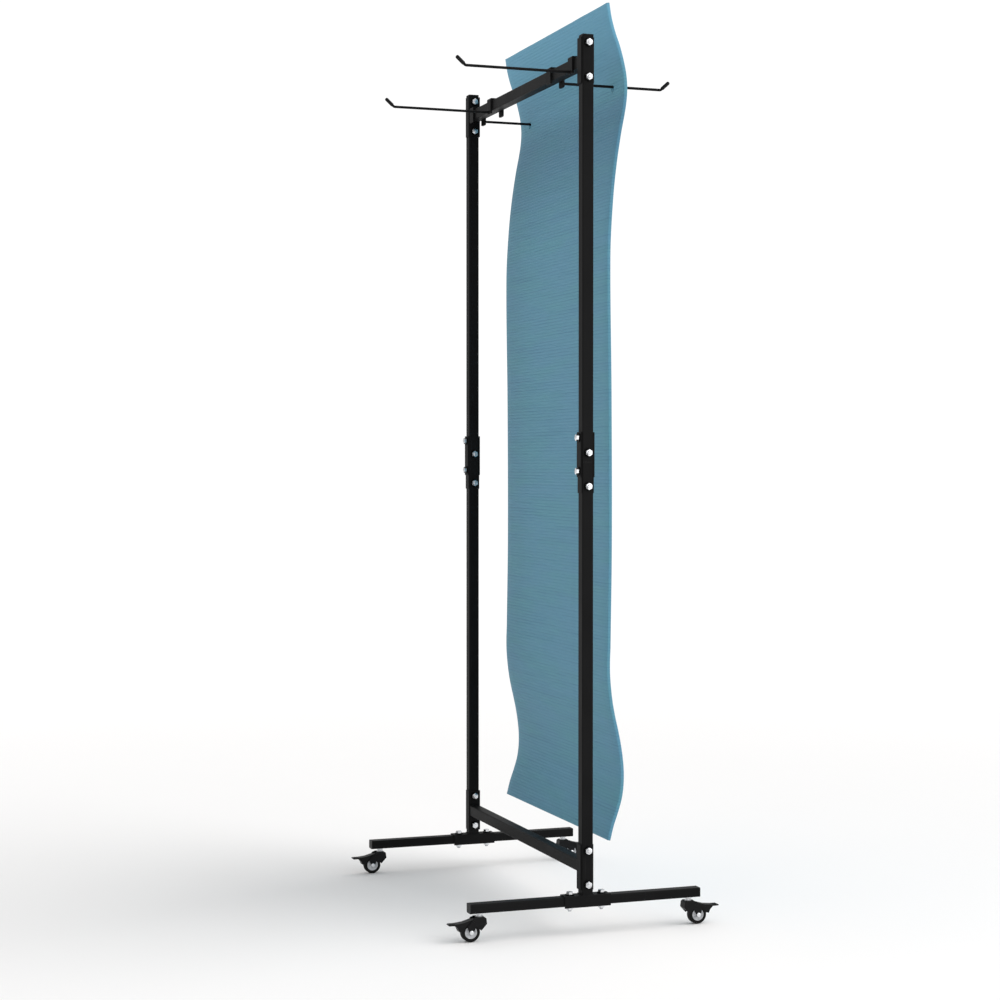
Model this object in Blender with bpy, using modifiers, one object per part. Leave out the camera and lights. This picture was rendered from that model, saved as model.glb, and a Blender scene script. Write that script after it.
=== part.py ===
"""A wheeled rack of bolted square tube with sliding hooks, and the ribbed foam sheet that hangs on it.

Metres, +Z up. X runs along the crossbars, Y along the foot bars, and the floor is Z = 0.
"""

import math

import bmesh
import bpy
from mathutils import Matrix, Vector

# Clearances
GAP = 0.0003
HOLE_GAP = 0.0004
RUNNING_GAP = 0.00015

# Square tube and sheet metal
TUBE = 0.025
FOOT_TUBE_HEIGHT = 0.020
TUBE_WALL = 0.0015
TUBE_ROUND = 0.0025
CHANNEL_WALL = 0.002
VENT_RADIUS = 0.004

# Frame. The hanging sheet sets the height and the width of the rack.
FOOT_LENGTH = 0.522
SPLICE_HEIGHT = 0.9955
BOTTOM_CHANNEL_ABOVE_FOOT = 0.0125

# Bolts
BOLT_RADIUS = 0.004
BOLT_HEX_FLATS = 0.013
BOLT_HEAD = 0.0053
BOLT_NUT = 0.0065
BOLT_END = 0.004
WASHER_RADIUS = 0.0095
WASHER = 0.0016
BOLT_SPREAD = 0.036

# End channels of the crossbars, saddles on the foot bars, sleeves at the splices
CHANNEL_PAST_BOLT = 0.012
END_CHANNEL_FLANGE = 0.022
SADDLE_PAST_BOLT = 0.016
SADDLE_BELOW_FOOT = 0.003
SPLICE_BOLT_NEAR = 0.0194
SPLICE_BOLT_STEP = 0.032
SLEEVE_WALL = 0.0012
SLEEVE_ABOVE_BOLT = 0.0116
SLEEVE_BELOW_BOLT = 0.0141
DOUBLER_WALL = 0.0018
DOUBLER_BELOW_BOLT = 0.0126
INSERT_PAST_BOLT = 0.0196

# Plugs
PLUG_PLATE = 0.002
POST_PLUG_DEPTH = 0.008
POST_PLUG_ABOVE_BOLT = 0.004
FOOT_PLUG_DEPTH = 0.012

# Hooks
HOOK_WIDTH = 0.025
HOOK_STRAP = 0.004
HOOK_SHORT_LEG = 0.007
HOOK_LONG_LEG = 0.0125
ARM_RADIUS = 0.003
ARM_BELOW_BAR = 0.003
ARM_REACH = 0.250
ARM_BEND_RADIUS = 0.006
ARM_TIP = 0.023
ARM_TIP_ANGLE = math.radians(42)
PAIR_STAGGER = 0.130
NEAR_END_SPACE = 0.0242
FAR_END_SPACE = 0.0142

# Hanging foam sheet
SHEET_LENGTH = 1.840
SHEET_WIDTH = 0.660
SHEET_THICKNESS = 0.008
SHEET_HOLE_RADIUS = 0.0075
SHEET_HOLE_MARGIN = 0.065
SHEET_ABOVE_HOLES = 0.1734
SHEET_ABOVE_FLOOR = 0.168
SHEET_PLANE = 0.101
SHEET_STEP = 0.025
# Distance below the top edge, and how far the sheet stands off its plane there.
UPPER_WAVE = (
    (0.000, -0.004),
    (0.046, 0.004),
    (0.106, 0.024),
    (0.171, 0.038),
    (0.221, 0.036),
    (0.281, 0.025),
    (0.351, 0.014),
    (0.436, 0.005),
    (0.556, -0.001),
    (0.856, 0.002),
)
# Distance above the bottom edge, and how far the sheet stands off its plane there.
LOWER_WAVE = (
    (0.654, 0.003),
    (0.424, 0.000),
    (0.374, -0.001),
    (0.304, 0.006),
    (0.224, 0.023),
    (0.179, 0.030),
    (0.134, 0.032),
    (0.084, 0.025),
    (0.044, 0.011),
    (0.000, 0.000),
)

# Casters
WHEEL_RADIUS = 0.020
WHEEL_WIDTH = 0.017
WHEEL_SIDES = 32
TYRE_DEPTH = 0.0065
HUB_RECESS = 0.0020
AXLE_RADIUS = 0.003
AXLE_HEAD_RADIUS = 0.0045
AXLE_HEAD = 0.001
CASTER_INSET = 0.0235
CASTER_ABOVE_WHEEL = 0.019
TYRE_SHOULDER = 0.003
HUB_BOSS_MARGIN = 0.001
RACE_RADIUS = 0.0080
RACE_HEIGHT = 0.0070
KING_PIN_RADIUS = 0.003
KING_PIN_HEAD_RADIUS = 0.0048
KING_PIN_HEAD = 0.0015
FORK_WALL = 0.002
FORK_GAP = 0.0007
FORK_BOSS_DEPTH = 0.009
FORK_CROWN_FRONT = 0.008
FORK_CROWN_REAR = 0.009
FORK_NOSE = 0.0135
FORK_NOSE_HEIGHT = 0.0145
FORK_NOSE_CHAMFER = (0.0015, 0.003)
FORK_JAW = 0.0043
FORK_THROAT = 0.001
FORK_THROAT_ABOVE_AXLE = 0.0036
FORK_EAR_ABOVE_AXLE = 0.012
FORK_AXLE_MARGIN = 0.0022
PIN_BOSS_RADIUS = 0.0085
PIN_BOSS_REAR = 0.0065
PEDAL_PIN_RADIUS = 0.002
PEDAL_PIN_FORWARD = 0.0068
PEDAL_PIN_ABOVE_WHEEL = 0.0045
PEDAL_KNUCKLE_RADIUS = 0.0032
PEDAL_CLEARANCE = 0.0035
PEDAL_PAST_TYRE = 0.029
PEDAL_LEVER_LENGTH = 0.014
PEDAL_TIP_DROP = 0.002
PEDAL_TIP_HALF = 0.0013
PEDAL_LEVER_THICKNESS = 0.003
PEDAL_WEB = 0.0085

X, Y, Z = Vector((1, 0, 0)), Vector((0, 1, 0)), Vector((0, 0, 1))


# Shape of the hanging sheet


def wave_points():
    """(distance below the top edge, offset) along the whole sheet."""
    lower = [(SHEET_LENGTH - up, offset) for up, offset in LOWER_WAVE]
    middle = [point for point in UPPER_WAVE if point[0] < lower[0][0]]
    return middle + lower


def wave_offset(points, distance):
    """A smooth curve through the wave's points."""
    last = len(points) - 1
    index = max(i for i in range(last) if points[i][0] <= distance or i == 0)
    before, start, end, after = (points[min(max(index + i, 0), last)] for i in (-1, 0, 1, 2))
    span = end[0] - start[0]
    slope_start = (end[1] - before[1]) / (end[0] - before[0]) * span
    slope_end = (after[1] - start[1]) / (after[0] - start[0]) * span
    t = (distance - start[0]) / span
    hermite = (2 * t**3 - 3 * t**2 + 1, t**3 - 2 * t**2 + t, -2 * t**3 + 3 * t**2, t**3 - t**2)
    values = (start[1], slope_start, end[1], slope_end)
    return sum(weight * value for weight, value in zip(hermite, values))


def sheet_path():
    """Evenly spaced steps down the sheet: (offset from the plane, drop below the top edge)."""
    points = wave_points()
    steps = round(SHEET_LENGTH / SHEET_STEP)
    step = SHEET_LENGTH / steps
    offset = wave_offset(points, 0.0)
    drop = 0.0
    path = [(offset, drop)]
    for i in range(1, steps + 1):
        moved = wave_offset(points, i * step)
        drop += math.sqrt(max(step**2 - (moved - offset) ** 2, 0.0))
        offset = moved
        path.append((offset, drop))
    return path


# Worked out from the values above
SHEET_PATH = sheet_path()
SHEET_TOP = SHEET_ABOVE_FLOOR + SHEET_PATH[-1][1]
ARM_Z = SHEET_TOP - SHEET_ABOVE_HOLES + SHEET_HOLE_RADIUS - GAP - ARM_RADIUS
TOP_BAR_Z = ARM_Z + ARM_BELOW_BAR + TUBE / 2
POST_TOP = TOP_BAR_Z + BOLT_SPREAD + BOLT_RADIUS + POST_PLUG_ABOVE_BOLT + POST_PLUG_DEPTH + PLUG_PLATE
FOOT_UNDERSIDE = 2 * WHEEL_RADIUS + CASTER_ABOVE_WHEEL
FOOT_TOP = FOOT_UNDERSIDE + FOOT_TUBE_HEIGHT
END_CHANNEL_HEIGHT = 2 * (BOLT_SPREAD + CHANNEL_PAST_BOLT)
BOTTOM_BAR_Z = FOOT_TOP + BOTTOM_CHANNEL_ABOVE_FOOT + END_CHANNEL_HEIGHT / 2
SADDLE_TOP = FOOT_TOP + GAP + CHANNEL_WALL
SADDLE_LENGTH = 2 * (BOLT_SPREAD + SADDLE_PAST_BOLT)
SPLICE_BOLT_FAR = SPLICE_BOLT_NEAR + SPLICE_BOLT_STEP
HOOK_PAIR = SHEET_WIDTH - 2 * SHEET_HOLE_MARGIN
CLEAR_SPAN = HOOK_PAIR + PAIR_STAGGER + HOOK_WIDTH + NEAR_END_SPACE + FAR_END_SPACE
WEB_FACE = CLEAR_SPAN / 2 + CHANNEL_WALL
POST_X = WEB_FACE + GAP + TUBE / 2
FRONT_PAIR_CENTRE = CLEAR_SPAN / 2 - NEAR_END_SPACE - HOOK_WIDTH / 2 - HOOK_PAIR / 2
BACK_PAIR_CENTRE = FRONT_PAIR_CENTRE - PAIR_STAGGER
STEM_Y = FOOT_LENGTH / 2 - CASTER_INSET
AXLE_Z = WHEEL_RADIUS * math.cos(math.pi / WHEEL_SIDES)
CASTER_TRAIL = WHEEL_RADIUS + GAP
FORK_TOP = FOOT_UNDERSIDE - GAP - RACE_HEIGHT - GAP
CHEEK_INNER = WHEEL_WIDTH / 2 + FORK_GAP


# Scene and object helpers


def clear_scene():
    for obj in list(bpy.data.objects):
        bpy.data.objects.remove(obj, do_unlink=True)


def collection(name):
    found = bpy.data.collections.new(name)
    bpy.context.scene.collection.children.link(found)
    return found


def material(name, colour, roughness, metallic):
    made = bpy.data.materials.new(name)
    made.use_nodes = True
    shader = made.node_tree.nodes["Principled BSDF"]
    shader.inputs["Base Color"].default_value = (*colour, 1.0)
    shader.inputs["Roughness"].default_value = roughness
    shader.inputs["Metallic"].default_value = metallic
    return made


def place(obj, at, parent=None, turn=None):
    obj.location = at
    if turn is not None:
        obj.rotation_euler = turn
    obj.parent = parent
    return obj


def part(name, mesh, look, at=(0, 0, 0), parent=None, turn=None):
    """A named sub-part, in the collection of the rack."""
    obj = bpy.data.objects.new(name, mesh)
    PARTS.objects.link(obj)
    obj.data.materials.clear()
    obj.data.materials.append(look)
    return place(obj, at, parent, turn)


def helper(name, mesh, target):
    """A shape in the target's own coordinates, used only by its Booleans."""
    obj = bpy.data.objects.new(name, mesh)
    HELPERS.objects.link(obj)
    obj.hide_render = True
    obj.display_type = "WIRE"
    obj.parent = target
    return obj


def joint_empty(name, at, parent=None, turn=None):
    obj = bpy.data.objects.new(name, None)
    PARTS.objects.link(obj)
    obj.empty_display_size = 0.02
    return place(obj, at, parent, turn)


def boolean(target, mesh, operation):
    name = f"{target.name}_{operation.lower()}_{len(target.modifiers)}"
    modifier = target.modifiers.new(name, "BOOLEAN")
    modifier.operation = operation
    modifier.solver = "EXACT"
    modifier.object = helper(name, mesh, target)


def add_shape(target, mesh):
    boolean(target, mesh, "UNION")


def cut_shape(target, mesh):
    boolean(target, mesh, "DIFFERENCE")


def smooth(obj, degrees=35):
    obj.data.shade_smooth()
    obj.data.set_sharp_from_angle(angle=math.radians(degrees))


# Mesh helpers: each returns a mesh in its object's own coordinates


def mesh_from(bm, name):
    mesh = bpy.data.meshes.new(name)
    bm.to_mesh(mesh)
    bm.free()
    return mesh


def edge_is_along(edge, axis):
    direction = (edge.verts[0].co - edge.verts[1].co).normalized()
    return abs(direction.dot(axis)) > 0.99


def box_mesh(low, high, round_axis=None, radius=TUBE_ROUND, segments=3):
    """A box between two corners. The edges along round_axis are rounded."""
    low, high = Vector(low), Vector(high)
    bm = bmesh.new()
    bmesh.ops.create_cube(bm, size=1.0)
    bmesh.ops.scale(bm, vec=high - low, verts=bm.verts)
    if round_axis is not None:
        edges = [e for e in bm.edges if edge_is_along(e, round_axis)]
        bmesh.ops.bevel(bm, geom=edges, offset=radius, segments=segments, profile=0.5, affect="EDGES")
    bmesh.ops.translate(bm, vec=(low + high) / 2, verts=bm.verts)
    return mesh_from(bm, "box")


def rods_mesh(rods, sides=12):
    """Cylinders in one mesh, each given as its two end points and its radius."""
    bm = bmesh.new()
    for start, end, radius in rods:
        start, end = Vector(start), Vector(end)
        turn = (end - start).to_track_quat("Z", "Y").to_matrix().to_4x4()
        size = {"radius1": radius, "radius2": radius, "depth": (end - start).length}
        matrix = Matrix.Translation((start + end) / 2) @ turn
        bmesh.ops.create_cone(bm, cap_ends=True, segments=sides, matrix=matrix, **size)
    return mesh_from(bm, "rods")


def baked(obj):
    """The evaluated mesh of a temporary object, welded, in world coordinates. The object is removed."""
    bpy.context.view_layer.update()
    graph = bpy.context.evaluated_depsgraph_get()
    mesh = bpy.data.meshes.new_from_object(obj.evaluated_get(graph))
    mesh.transform(obj.matrix_world)
    bm = bmesh.new()
    bm.from_mesh(mesh)
    bmesh.ops.remove_doubles(bm, verts=bm.verts, dist=1e-6)
    bm.to_mesh(mesh)
    bm.free()
    bpy.data.objects.remove(obj, do_unlink=True)
    return mesh


def temporary_curve(dimensions, points, closed):
    curve = bpy.data.curves.new("outline", "CURVE")
    curve.dimensions = dimensions
    spline = curve.splines.new("POLY")
    spline.points.add(len(points) - 1)
    for target, point in zip(spline.points, points):
        target.co = (*point, 1.0)
    spline.use_cyclic_u = closed
    obj = bpy.data.objects.new("outline", curve)
    PARTS.objects.link(obj)
    return obj


def plate_mesh(outline, half_width):
    """A flat outline in the YZ plane, extruded both ways along X."""
    obj = temporary_curve("2D", [(y, z, 0.0) for y, z in outline], closed=True)
    obj.data.fill_mode = "BOTH"
    obj.data.extrude = half_width
    obj.rotation_euler = (math.pi / 2, 0.0, math.pi / 2)
    return baked(obj)


def wire_mesh(points, radius):
    obj = temporary_curve("3D", points, closed=False)
    obj.data.bevel_depth = radius
    obj.data.bevel_resolution = 3
    obj.data.use_fill_caps = True
    return baked(obj)


def arc(centre, radius, start, end, steps):
    """Points on an arc, from one angle to another in degrees."""
    angles = [math.radians(start + (end - start) * i / steps) for i in range(steps + 1)]
    return [(centre[0] + radius * math.cos(a), centre[1] + radius * math.sin(a)) for a in angles]


def turned(name, profile, look, steps, closed=False, **where):
    """A profile of (radius, height) points, run down its outer side and turned about Z."""
    bm = bmesh.new()
    verts = [bm.verts.new((r, 0.0, z)) for r, z in profile]
    pairs = list(zip(verts, verts[1:]))
    if closed:
        pairs.append((verts[-1], verts[0]))
    for a, b in pairs:
        bm.edges.new((a, b))
    obj = part(name, mesh_from(bm, name), look, **where)
    screw = obj.modifiers.new("turn", "SCREW")
    screw.steps = steps
    screw.render_steps = steps
    screw.use_merge_vertices = True
    screw.merge_threshold = 1e-5
    screw.use_smooth_shade = False
    return obj


# Bolts


def bolt_mesh(grip, nut=True):
    """A hexagon bolt along +X, clamping from X = 0 to X = grip. Without a nut it ends inside X = 0."""
    head_face = grip + GAP + WASHER + BOLT_HEAD
    nut_face = -GAP - WASHER - BOLT_NUT
    profile = (
        (0.0, head_face - BOLT_HEAD / 2),
        (BOLT_RADIUS, head_face - BOLT_HEAD / 2),
        (BOLT_RADIUS, grip + GAP + WASHER),
        (WASHER_RADIUS, grip + GAP + WASHER),
        (WASHER_RADIUS, grip + GAP),
        (BOLT_RADIUS, grip + GAP),
    )
    nut_end = (
        (BOLT_RADIUS, -GAP),
        (WASHER_RADIUS, -GAP),
        (WASHER_RADIUS, -GAP - WASHER),
        (BOLT_RADIUS, -GAP - WASHER),
        (BOLT_RADIUS, nut_face - BOLT_END),
        (0.0, nut_face - BOLT_END),
    )
    plain_end = ((BOLT_RADIUS, GAP), (0.0, GAP))
    profile += nut_end if nut else plain_end
    bolt = turned("bolt", profile, ZINC, steps=12)
    embed = WASHER / 4
    hex_radius = BOLT_HEX_FLATS / 2 / math.cos(math.pi / 6)
    head = ((0, 0, head_face), (0, 0, grip + GAP + WASHER - embed), hex_radius)
    nut_hex = ((0, 0, nut_face), (0, 0, -GAP - WASHER + embed), hex_radius)
    add_shape(bolt, rods_mesh([head, nut_hex] if nut else [head], sides=6))
    bolt.rotation_euler = (0.0, math.pi / 2, 0.0)
    helpers = [modifier.object for modifier in bolt.modifiers if modifier.type == "BOOLEAN"]
    mesh = baked(bolt)
    for obj in helpers:
        bpy.data.objects.remove(obj, do_unlink=True)
    return mesh


def bolt(name, mesh, at, direction):
    """The nut end is at the given point, and the head is in the given direction."""
    obj = part(name, mesh.copy(), ZINC, at=at, turn=direction.to_track_quat("X", "Z").to_euler())
    smooth(obj)
    return obj


def hole_along(axis, at, half_length, radius=BOLT_RADIUS + HOLE_GAP):
    at = Vector(at)
    return (at - axis * half_length, at + axis * half_length, radius)


# Posts


def crossbar_holes(bar_z):
    return [hole_along(X, (0, 0, bar_z + side * BOLT_SPREAD), TUBE) for side in (-1, 1)]


def splice_holes(side):
    """One hole along each axis in the tube above the splice (side 1) or below it (side -1)."""
    along_y, along_x = (SPLICE_BOLT_FAR, SPLICE_BOLT_NEAR)[::side]
    return [
        hole_along(Y, (0, 0, SPLICE_HEIGHT + side * along_y), TUBE),
        hole_along(X, (0, 0, SPLICE_HEIGHT + side * along_x), TUBE),
    ]


def upper_post(name, x):
    half = TUBE / 2
    bore = half - TUBE_WALL
    top = POST_TOP - PLUG_PLATE - GAP
    bottom = SPLICE_HEIGHT + GAP / 2
    post = part(name, box_mesh((-half, -half, bottom), (half, half, top), Z), BLACK_PAINT, at=(x, 0, 0))
    cut_shape(post, box_mesh((-bore, -bore, bottom - TUBE), (bore, bore, top + TUBE)))
    cut_shape(post, rods_mesh(crossbar_holes(TOP_BAR_Z) + splice_holes(1)))
    smooth(post)
    return post


def saddle_blocks():
    """The outside of the saddle, and the slot that the foot bar fills."""
    half = TUBE / 2 + GAP
    outer = half + CHANNEL_WALL
    low = FOOT_UNDERSIDE - SADDLE_BELOW_FOOT
    outside = ((-outer, -SADDLE_LENGTH / 2, low), (outer, SADDLE_LENGTH / 2, SADDLE_TOP))
    slot = ((-half, -SADDLE_LENGTH, low - TUBE), (half, SADDLE_LENGTH, FOOT_TOP + GAP))
    return outside, slot


def lower_post(name, x):
    """The lower tube, welded to the saddle that sits on the foot bar."""
    half = TUBE / 2
    bore = half - TUBE_WALL
    top = SPLICE_HEIGHT - GAP / 2
    outside, slot = saddle_blocks()
    tube = box_mesh((-half, -half, SADDLE_TOP - CHANNEL_WALL / 2), (half, half, top), Z)
    post = part(name, tube, BLACK_PAINT, at=(x, 0, 0))
    add_shape(post, box_mesh(*outside, round_axis=Y, radius=CHANNEL_WALL * 0.8))
    cut_shape(post, box_mesh(*slot))
    cut_shape(post, box_mesh((-bore, -bore, SADDLE_TOP), (bore, bore, top + TUBE)))
    cut_shape(post, rods_mesh(crossbar_holes(BOTTOM_BAR_Z) + splice_holes(-1)))
    saddle_holes = [hole_along(Z, (0, y, SADDLE_TOP), TUBE / 2) for y in (-BOLT_SPREAD, BOLT_SPREAD)]
    cut_shape(post, rods_mesh(saddle_holes))
    smooth(post)
    return post


def splice_sleeve(name, x):
    """A channel round three sides of the splice, with a doubler on each flange."""
    half = TUBE / 2 + GAP
    wall = half + SLEEVE_WALL
    doubler = wall + DOUBLER_WALL
    low = -SPLICE_BOLT_FAR - SLEEVE_BELOW_BOLT
    high = SPLICE_BOLT_FAR + SLEEVE_ABOVE_BOLT
    doubler_low = -SPLICE_BOLT_NEAR - DOUBLER_BELOW_BOLT
    channel = box_mesh((-wall, -wall, low), (TUBE / 2, wall, high), Z)
    sleeve = part(name, channel, BLACK_PAINT, at=(x, 0, SPLICE_HEIGHT))
    flat_side = TUBE / 2 - TUBE_ROUND
    add_shape(sleeve, box_mesh((-TUBE / 2, -doubler, doubler_low), (flat_side, doubler, high)))
    cut_shape(sleeve, box_mesh((-half, -half, low - TUBE), (TUBE, half, high + TUBE)))
    holes = []
    for side in (-1, 1):
        along_y, along_x = (SPLICE_BOLT_FAR, SPLICE_BOLT_NEAR)[::side]
        holes.append(hole_along(Y, (0, 0, side * along_y), 2 * TUBE))
        holes.append(hole_along(X, (0, 0, side * along_x), 2 * TUBE))
    cut_shape(sleeve, rods_mesh(holes))
    smooth(sleeve)
    return sleeve


def splice_insert(name, x):
    """The inner tube that joins the two halves of a post."""
    half = TUBE / 2 - TUBE_WALL - GAP
    bore = half - TUBE_WALL
    reach = SPLICE_BOLT_FAR + INSERT_PAST_BOLT
    tube = box_mesh((-half, -half, -reach), (half, half, reach), Z, TUBE_WALL / 2, 1)
    insert = part(name, tube, BARE_STEEL, at=(x, 0, SPLICE_HEIGHT))
    cut_shape(insert, box_mesh((-bore, -bore, -2 * reach), (bore, bore, 2 * reach)))
    heights = [SPLICE_BOLT_NEAR, SPLICE_BOLT_FAR]
    holes = [hole_along(Y, (0, 0, heights[1]), TUBE), hole_along(X, (0, 0, heights[0]), TUBE)]
    holes += [hole_along(Y, (0, 0, -heights[0]), TUBE), hole_along(X, (0, 0, -heights[1]), TUBE)]
    cut_shape(insert, rods_mesh(holes))
    smooth(insert)
    return insert


def plug(name, half_x, half_y, depth, at, turn=None):
    """A plastic plug whose plate covers the tube's end. Its outer face is at the object's origin."""
    plate = box_mesh((-half_x, -half_y, -PLUG_PLATE), (half_x, half_y, 0.0), Z)
    obj = part(name, plate, BLACK_PLASTIC, at=at, turn=turn)
    inside = TUBE_WALL + GAP
    low = (-half_x + inside, -half_y + inside, -PLUG_PLATE - depth)
    high = (half_x - inside, half_y - inside, -PLUG_PLATE / 2)
    add_shape(obj, box_mesh(low, high))
    smooth(obj)
    return obj


# Crossbars


def crossbar(name, z):
    """A tube with a channel welded to each end. The channels wrap the posts."""
    half = TUBE / 2
    bore = half - TUBE_WALL
    flange = half + GAP
    outer = flange + CHANNEL_WALL
    tall = END_CHANNEL_HEIGHT / 2
    web_back = WEB_FACE - CHANNEL_WALL
    tube_end = web_back + CHANNEL_WALL / 2
    tube = box_mesh((-tube_end, -half, -half), (tube_end, half, half), X)
    bar = part(name, tube, BLACK_PAINT, at=(0, 0, z))
    for side in (-1, 1):
        ends = sorted((side * web_back, side * (WEB_FACE + END_CHANNEL_FLANGE)))
        add_shape(bar, box_mesh((ends[0], -outer, -tall), (ends[1], outer, tall), Z, CHANNEL_WALL * 0.8))
    for side in (-1, 1):
        ends = sorted((side * WEB_FACE, side * (WEB_FACE + 2 * TUBE)))
        cut_shape(bar, box_mesh((ends[0], -flange, -2 * tall), (ends[1], flange, 2 * tall)))
    cut_shape(bar, box_mesh((-web_back, -bore, -bore), (web_back, bore, bore)))
    holes = []
    for side in (-1, 1):
        web = (side * (WEB_FACE - CHANNEL_WALL / 2), 0, 0)
        holes.append(hole_along(X, web, CHANNEL_WALL, VENT_RADIUS))
        for up in (-BOLT_SPREAD, BOLT_SPREAD):
            holes.append(hole_along(X, (web[0], 0, up), CHANNEL_WALL * 2))
    cut_shape(bar, rods_mesh(holes))
    smooth(bar)
    return bar


# Foot bars


def foot_bar(name, x):
    half = TUBE / 2
    bore = half - TUBE_WALL
    low = FOOT_UNDERSIDE
    high = FOOT_TOP
    reach = FOOT_LENGTH / 2 - PLUG_PLATE - GAP
    tube = box_mesh((-half, -reach, low), (half, reach, high), Y)
    bar = part(name, tube, BLACK_PAINT, at=(x, 0, 0))
    bore_low = (-bore, -2 * reach, low + TUBE_WALL)
    cut_shape(bar, box_mesh(bore_low, (bore, 2 * reach, high - TUBE_WALL)))
    middle = (low + high) / 2
    holes = [hole_along(Z, (0, y, middle), TUBE) for y in (-BOLT_SPREAD, BOLT_SPREAD)]
    holes += [hole_along(Z, (0, y, low), FOOT_TUBE_HEIGHT / 2) for y in (-STEM_Y, STEM_Y)]
    cut_shape(bar, rods_mesh(holes))
    smooth(bar)
    return bar


# Hooks


def arm_points(side):
    """The middle of the wire, from inside the leg to the raised tip."""
    start = TUBE / 2 + GAP + HOOK_STRAP / 2
    z = -TUBE / 2 - ARM_BELOW_BAR
    turn = ARM_TIP_ANGLE
    bend_start = ARM_REACH - ARM_BEND_RADIUS * math.tan(turn / 2)
    points = [(start, z)]
    points += arc((bend_start, z + ARM_BEND_RADIUS), ARM_BEND_RADIUS, -90, -90 + math.degrees(turn), 4)
    end_y, end_z = points[-1]
    points.append((end_y + ARM_TIP * math.cos(turn), end_z + ARM_TIP * math.sin(turn)))
    return [(0.0, side * y, height) for y, height in points]


def hook(name, x, side):
    """A strap over the crossbar with a wire arm welded to one leg. Its origin is on the crossbar's axis."""
    half = TUBE / 2 + GAP
    outer = half + HOOK_STRAP
    wide = HOOK_WIDTH / 2
    short = -TUBE / 2 - HOOK_SHORT_LEG
    long = -TUBE / 2 - HOOK_LONG_LEG
    saddle = box_mesh((-wide, -outer, short), (wide, outer, outer), X, HOOK_STRAP * 0.6)
    obj = part(name, saddle, BLACK_PAINT, at=(x, 0, TOP_BAR_Z))
    add_shape(obj, box_mesh((-wide, half, long), (wide, outer, short + HOOK_STRAP), Y, HOOK_LONG_LEG * 0.3))
    cut_shape(obj, box_mesh((-2 * wide, -half, 2 * long), (2 * wide, half, half)))
    add_shape(obj, wire_mesh(arm_points(side), ARM_RADIUS))
    smooth(obj)
    return obj


# Hanging sheet


def hanging_sheet(name, parent):
    """The foam sheet, hung by two holes. Its origin is midway between the holes."""
    path = SHEET_PATH
    bpy.ops.mesh.primitive_grid_add(x_subdivisions=1, y_subdivisions=len(path) - 1, size=1.0)
    obj = bpy.context.active_object
    obj.name = name
    for other in list(obj.users_collection):
        other.objects.unlink(obj)
    PARTS.objects.link(obj)
    obj.data.materials.append(FOAM)
    top = SHEET_TOP - ARM_Z
    rows = sorted({round(v.co.y, 6) for v in obj.data.vertices}, reverse=True)
    for vertex in obj.data.vertices:
        offset, drop = path[rows.index(round(vertex.co.y, 6))]
        vertex.co = (vertex.co.x * SHEET_WIDTH, SHEET_PLANE + offset, top - drop)
    thick = obj.modifiers.new("thickness", "SOLIDIFY")
    thick.thickness = SHEET_THICKNESS
    thick.offset = 0.0
    thick.use_even_offset = True
    hole_z = SHEET_TOP - SHEET_ABOVE_HOLES - ARM_Z
    ends = (-HOOK_PAIR / 2, HOOK_PAIR / 2)
    holes = [((x, 0, hole_z), (x, 2 * SHEET_PLANE, hole_z), SHEET_HOLE_RADIUS) for x in ends]
    cut_shape(obj, rods_mesh(holes, sides=24))
    smooth(obj)
    return place(obj, (BACK_PAIR_CENTRE, 0, ARM_Z), parent)


# Casters: local Y runs from the king pin to the axle, and the local origin is on the floor under the pin


def caster_stem(name, parent):
    """Threaded stem, bearing race and riveted king pin in one turned piece."""
    race_top = FOOT_UNDERSIDE - GAP
    race_bottom = race_top - RACE_HEIGHT
    pin_end = FORK_TOP - FORK_BOSS_DEPTH - GAP
    profile = (
        (0.0, FOOT_TOP - 2 * TUBE_WALL),
        (BOLT_RADIUS, FOOT_TOP - 2 * TUBE_WALL),
        (BOLT_RADIUS, race_top),
        (RACE_RADIUS, race_top),
        (RACE_RADIUS, race_top - RACE_HEIGHT * 0.3),
        (RACE_RADIUS * 0.75, race_top - RACE_HEIGHT * 0.45),
        (RACE_RADIUS * 0.75, race_bottom + RACE_HEIGHT * 0.25),
        (RACE_RADIUS * 0.95, race_bottom + RACE_HEIGHT * 0.12),
        (RACE_RADIUS * 0.95, race_bottom),
        (KING_PIN_RADIUS, race_bottom),
        (KING_PIN_RADIUS, pin_end),
        (KING_PIN_HEAD_RADIUS, pin_end),
        (KING_PIN_HEAD_RADIUS * 0.75, pin_end - KING_PIN_HEAD),
        (0.0, pin_end - KING_PIN_HEAD),
    )
    obj = turned(name, profile, ZINC, steps=16, parent=parent)
    smooth(obj)
    return obj


def pedal_pivot():
    """The pedal's pin, above the front of the wheel."""
    return (CASTER_TRAIL - PEDAL_PIN_FORWARD, AXLE_Z + WHEEL_RADIUS + PEDAL_PIN_ABOVE_WHEEL)


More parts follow.
